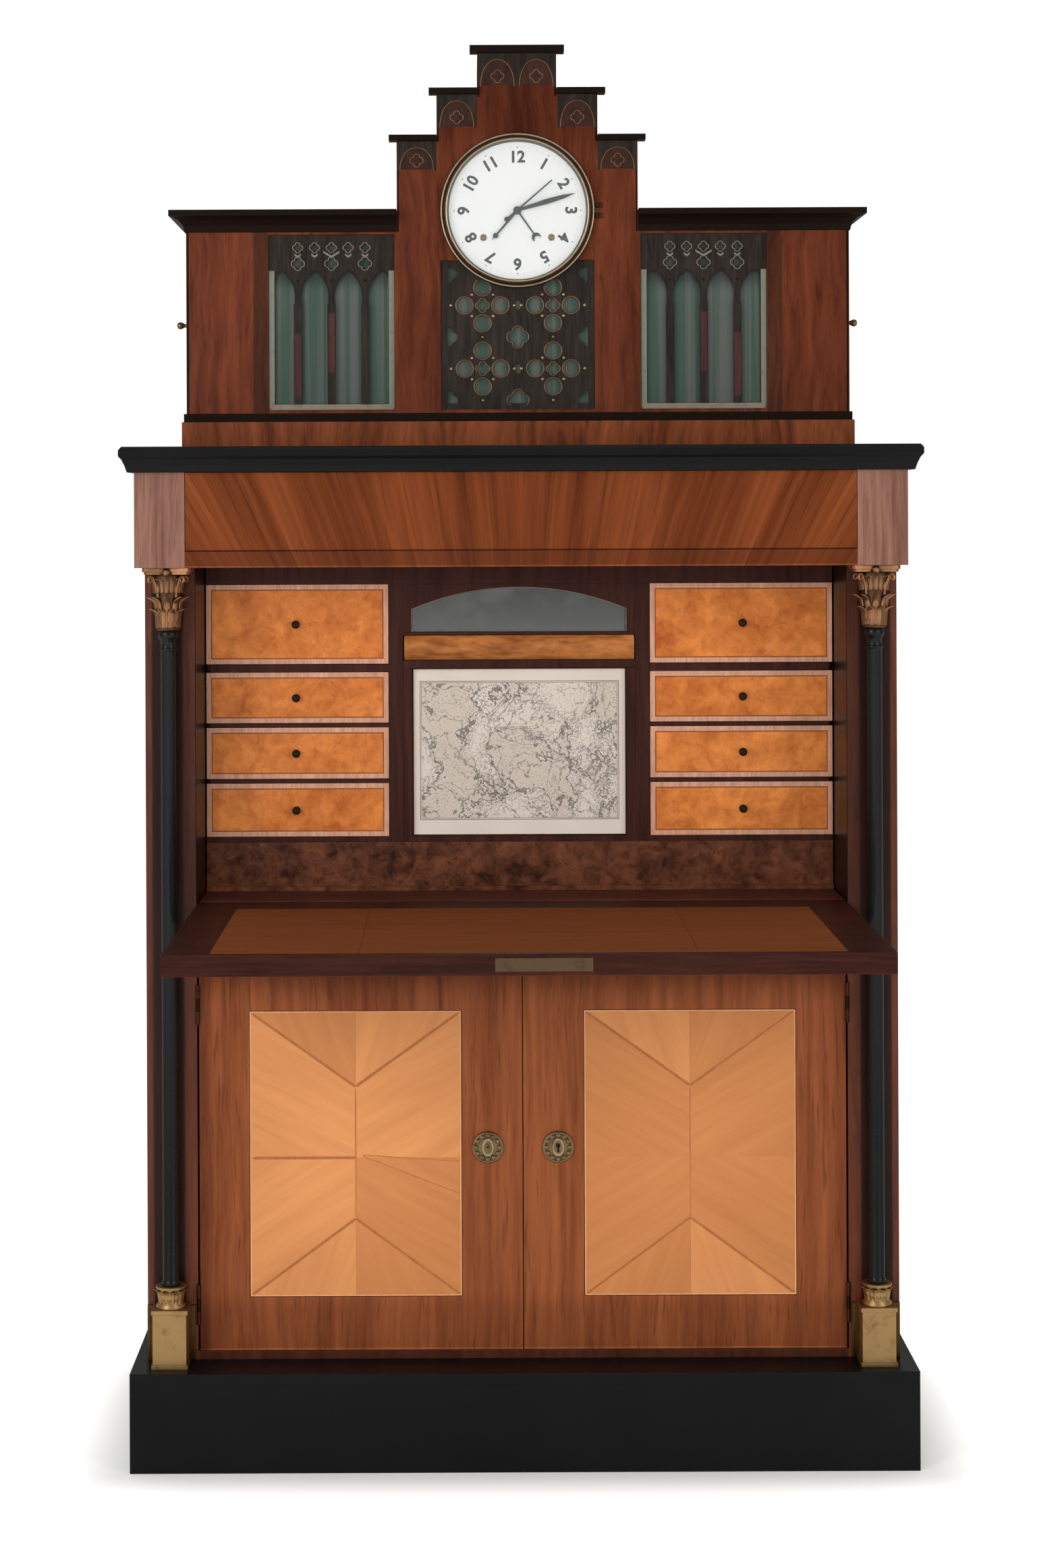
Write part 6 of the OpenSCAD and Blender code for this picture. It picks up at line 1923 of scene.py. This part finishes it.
@dataclass
class Clock:
    """Dial, bezel, numerals, hands, movement and pendulum."""

    shop: Workshop
    numeral_r: float = 0.083
    numeral_size: float = 0.0250
    track_r: float = 0.0985
    day_track_r: float = 0.0675
    winding_at: Flat = (0.053, -0.042)

    def build(self) -> None:
        """Dresses the clock and builds its face."""
        self.shop.dress(dial="white_enamel", dial_glass="dial_crystal", hour_hand="blued_steel",
                        minute_hand="blued_steel", date_hand="blued_steel", seconds_hand="blued_steel",
                        movement="clock_brass", bell="clock_brass", pendulum="clock_brass")
        self.bezel()
        self.numerals()
        self.marks()

    def bezel(self) -> None:
        """Turns the two mouldings of the bezel in dark gilt painted as the shade of its grooves, with a
        bright bead on each, and adds its hinge leaf.
        """
        piece = self.shop.piece("bezel_rings")
        x, _, z = DIAL
        centre = (x, Y_CASE, z)
        section = [(.1085, .0002), (.1085, .0085), (.1102, .0128), (.1120, .0138), (.1138, .0128),
                   (.1146, .0092), (.1152, .0078), (.1160, .0090), (.1178, .0094), (.1196, .0078),
                   (.1206, .0040), (.1206, .0002), (.1085, .0002)]
        # Dark gilt body: painted shade in the grooves between the bright beads
        piece.lathe(section, centre, "bezel_groove", Axis.FRONT, 128)
        for radius, height, bead in ((.1106, .0131, .0016), (.1186, .0085, .0015)):
            diamond = [(radius - bead, height), (radius, height + bead), (radius + bead, height),
                       (radius, height - bead), (radius - bead, height)]
            piece.lathe(diamond, centre, "bezel_gilt", Axis.FRONT, 128)
        piece.block((.1205, Y_CASE - .0052, z - .0038), (.1272, Y_CASE - .0006, z + .0038), "bezel_groove")
        piece.finish("bezel", "gilt_brass", ["bezel"])

    def numerals(self) -> None:
        """Sets the numbers 1 to 12 round the dial."""
        piece = self.shop.piece("dial_numerals")
        for hour in range(1, 13):
            turn = math.tau * hour / 12
            text = bpy.data.curves.new(f"hour_{hour}", "FONT")
            text.body = str(hour)
            text.size = self.numeral_size
            text.align_x = text.align_y = "CENTER"
            text.extrude = 0.00006
            text.offset = 0.0008
            holder = placed(f"hour_{hour}", text)
            mesh = plain_mesh(holder)
            bpy.data.objects.remove(holder)
            for move in (Matrix.Translation((0.0, self.numeral_r, 0.0)), Matrix.Rotation(-turn, 4, "Z"),
                         Matrix.Rotation(math.pi / 2, 4, "X"),
                         Matrix.Translation((DIAL[0], DIAL[1] - SKIN, DIAL[2]))):
                mesh.transform(move)
            piece.take(mesh, "blued_steel")
        piece.finish("carcass", "enamel", outward=False)

    def marks(self) -> None:
        """Paints the minute dots, the day dots and the rims of the winding holes."""
        piece = self.shop.piece("dial_marks")
        x, y, z = DIAL
        for size, count, radius in ((.0005, 60, self.track_r), (.0010, 12, self.track_r),
                                    (.00035, 31, self.day_track_r)):
            self.shop.ring(piece, drop_mesh(size, 0.2), count, radius, "blued_steel", (x, y - SKIN, z),
                           Axis.FRONT, math.pi / 2)
        rim = [(.0040, 0.0), (.0040, .0005), (.0050, .0007), (.0058, .0004), (.0058, 0.0), (.0040, 0.0)]
        for side in (-1, 1):
            centre = (side * self.winding_at[0], y, z + self.winding_at[1])
            piece.lathe(rim, centre, "clock_brass", Axis.FRONT, 32)
        piece.finish("carcass", "enamel")


@dataclass(frozen=True)
class Studio:
    """Pale floor, soft lights and the camera at the photograph's place."""

    focal: float = 4143.0
    frame_h: float = 2324.0
    eye: Point = (-0.077, -4.398, 1.401)
    shift_px: Flat = (91.5, -382.8)
    roll: float = -0.24
    aim: Point = (0.0, 0.0, 1.05)
    floor_half: float = 30.0
    # Half-size of the plinth's foot and the reach of the painted shadow round it
    foot: Flat = (0.585, 0.2625)
    halo: float = 0.13

    def build(self) -> None:
        """Builds the floor, the light and the camera."""
        self.floor()
        self.sky()
        self.lamp("key", (-2.7, -3.6, 2.2), 1.9, 62.0)
        self.lamp("fill", (2.9, -3.4, 1.9), 2.0, 38.0)
        self.lamp("front", (-0.5, -6.0, 1.4), 2.6, 118.0, False)
        self.lamp("top", (0.0, -0.9, 4.2), 2.6, 10.0)
        self.camera()
        bpy.context.scene.view_settings.view_transform = "Standard"

    def floor(self) -> None:
        """Lays a wide pale floor that glows for the camera, with a painted shadow round the plinth."""
        half = self.floor_half
        mesh = bpy.data.meshes.new("floor")
        corners = [(-half, -half, 0), (half, -half, 0), (half, half, 0), (-half, half, 0)]
        mesh.from_pydata(corners, [], [(0, 1, 2, 3)])
        paint = Material("pale_floor")
        g = paint.g
        cloud = g.noise(paint.place, 1.5, 3.0)
        beyond = g.vector("SUBTRACT", g.vector("ABSOLUTE", paint.place), (*self.foot, 0.0))
        beyond = g.vector("MAXIMUM", beyond, (0.0, 0.0, 0.0))
        away = g.node("ShaderNodeVectorMath", {0: beyond}, operation="LENGTH")
        # Painted shadow: the floor glows less for the camera near the plinth
        glow_with_painted_shadow = g.math("ADD", 0.16, g.math("MULTIPLY", g.ramp(away.outputs["Value"], 0.0, self.halo), 0.44))
        seen = g.node("ShaderNodeLightPath").outputs["Is Camera Ray"]
        paint.set(Base_Color=g.blend(cloud, (0.90, 0.90, 0.90), (0.93, 0.93, 0.93)), Roughness=0.9,
                  Specular_IOR_Level=0.0, Emission_Color=(1.0, 1.0, 1.0),
                  Emission_Strength=g.math("MULTIPLY", seen, glow_with_painted_shadow))
        mesh.materials.append(paint.data)
        placed("floor", mesh)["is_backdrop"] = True

    def sky(self) -> None:
        """Sets a white surround that is dimmer where the glossy fronts would mirror it."""
        world = bpy.data.worlds.new("studio")
        world.use_nodes = True
        g = Graph(world.node_tree)
        seen = g.node("ShaderNodeBackground", {"Color": (1.0, 1.0, 1.0, 1.0)})
        _, y, z = g.parts(g.node("ShaderNodeTexCoord").outputs["Generated"])
        rise = g.ramp(g.math("ADD", g.math("MULTIPLY", y, 0.7), g.math("MULTIPLY", z, 0.7)), -0.5, 0.7)
        ray = g.node("ShaderNodeLightPath")
        held = g.math("SUBTRACT", 1.0, g.math("MULTIPLY", ray.outputs["Is Glossy Ray"], 0.55))
        power = g.math("MULTIPLY", held, g.math("ADD", 0.20, g.math("MULTIPLY", rise, 0.5)))
        lit = g.node("ShaderNodeBackground", {"Color": (1.0, 0.99, 0.97, 1.0), "Strength": power})
        both = g.node("ShaderNodeMixShader", {0: ray.outputs["Is Camera Ray"], 1: lit.outputs[0],
                                              2: seen.outputs[0]})
        g.node("ShaderNodeOutputWorld", {"Surface": both.outputs[0]})
        bpy.context.scene.world = world

    def lamp(self, name: str, place: Point, size: float, power: float, mirrored: bool = True) -> None:
        """Adds a soft lamp aimed at the middle of the cabinet.

        Args:
            name: Its name.
            place: Where it hangs.
            size: Its side.
            power: Its power in watts.
            mirrored: Whether polished faces show it.
        """
        light = bpy.data.lights.new(name, "AREA")
        light.size = size
        light.energy = power
        made = placed(name, light)
        made.location = place
        made.visible_glossy = mirrored
        made.rotation_euler = (Vector(self.aim) - Vector(place)).to_track_quat("-Z", "Y").to_euler()

    def camera(self) -> None:
        """Sets the camera level, turned a little about its own axis, with the frame's shift."""
        lens = bpy.data.cameras.new("camera")
        lens.sensor_width = 36.0
        lens.lens = self.focal * lens.sensor_width / self.frame_h
        lens.shift_x = self.shift_px[0] / self.frame_h
        lens.shift_y = self.shift_px[1] / self.frame_h
        made = placed("camera", lens)
        made.location = self.eye
        level = Matrix.Rotation(math.pi / 2, 3, "X")
        made.rotation_euler = (level @ Matrix.Rotation(math.radians(self.roll), 3, "Z")).to_euler()
        bpy.context.scene.camera = made


def main() -> None:
    """Builds the cabinet from the floor to the clock and sets up the studio."""
    logging.basicConfig(level=logging.INFO, format="%(message)s")
    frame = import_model()
    cad_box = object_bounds()
    shop = Workshop(frame["nodes"], Finishes(), Forge())
    for assembly in (Carcass(shop), Columns(shop), Door(shop, -1), Door(shop, 1), FallFront(shop), Nest(shop),
                     ClockCase(shop), Clock(shop), Studio()):
        LOG.info("building %s", type(assembly).__name__)
        assembly.build()
    boxes = [[[float(v) for v in corner] for corner in box] for box in (cad_box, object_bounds())]
    {"cad": boxes[0], "visual": boxes[1]}


if __name__ == "__main__":
    main()
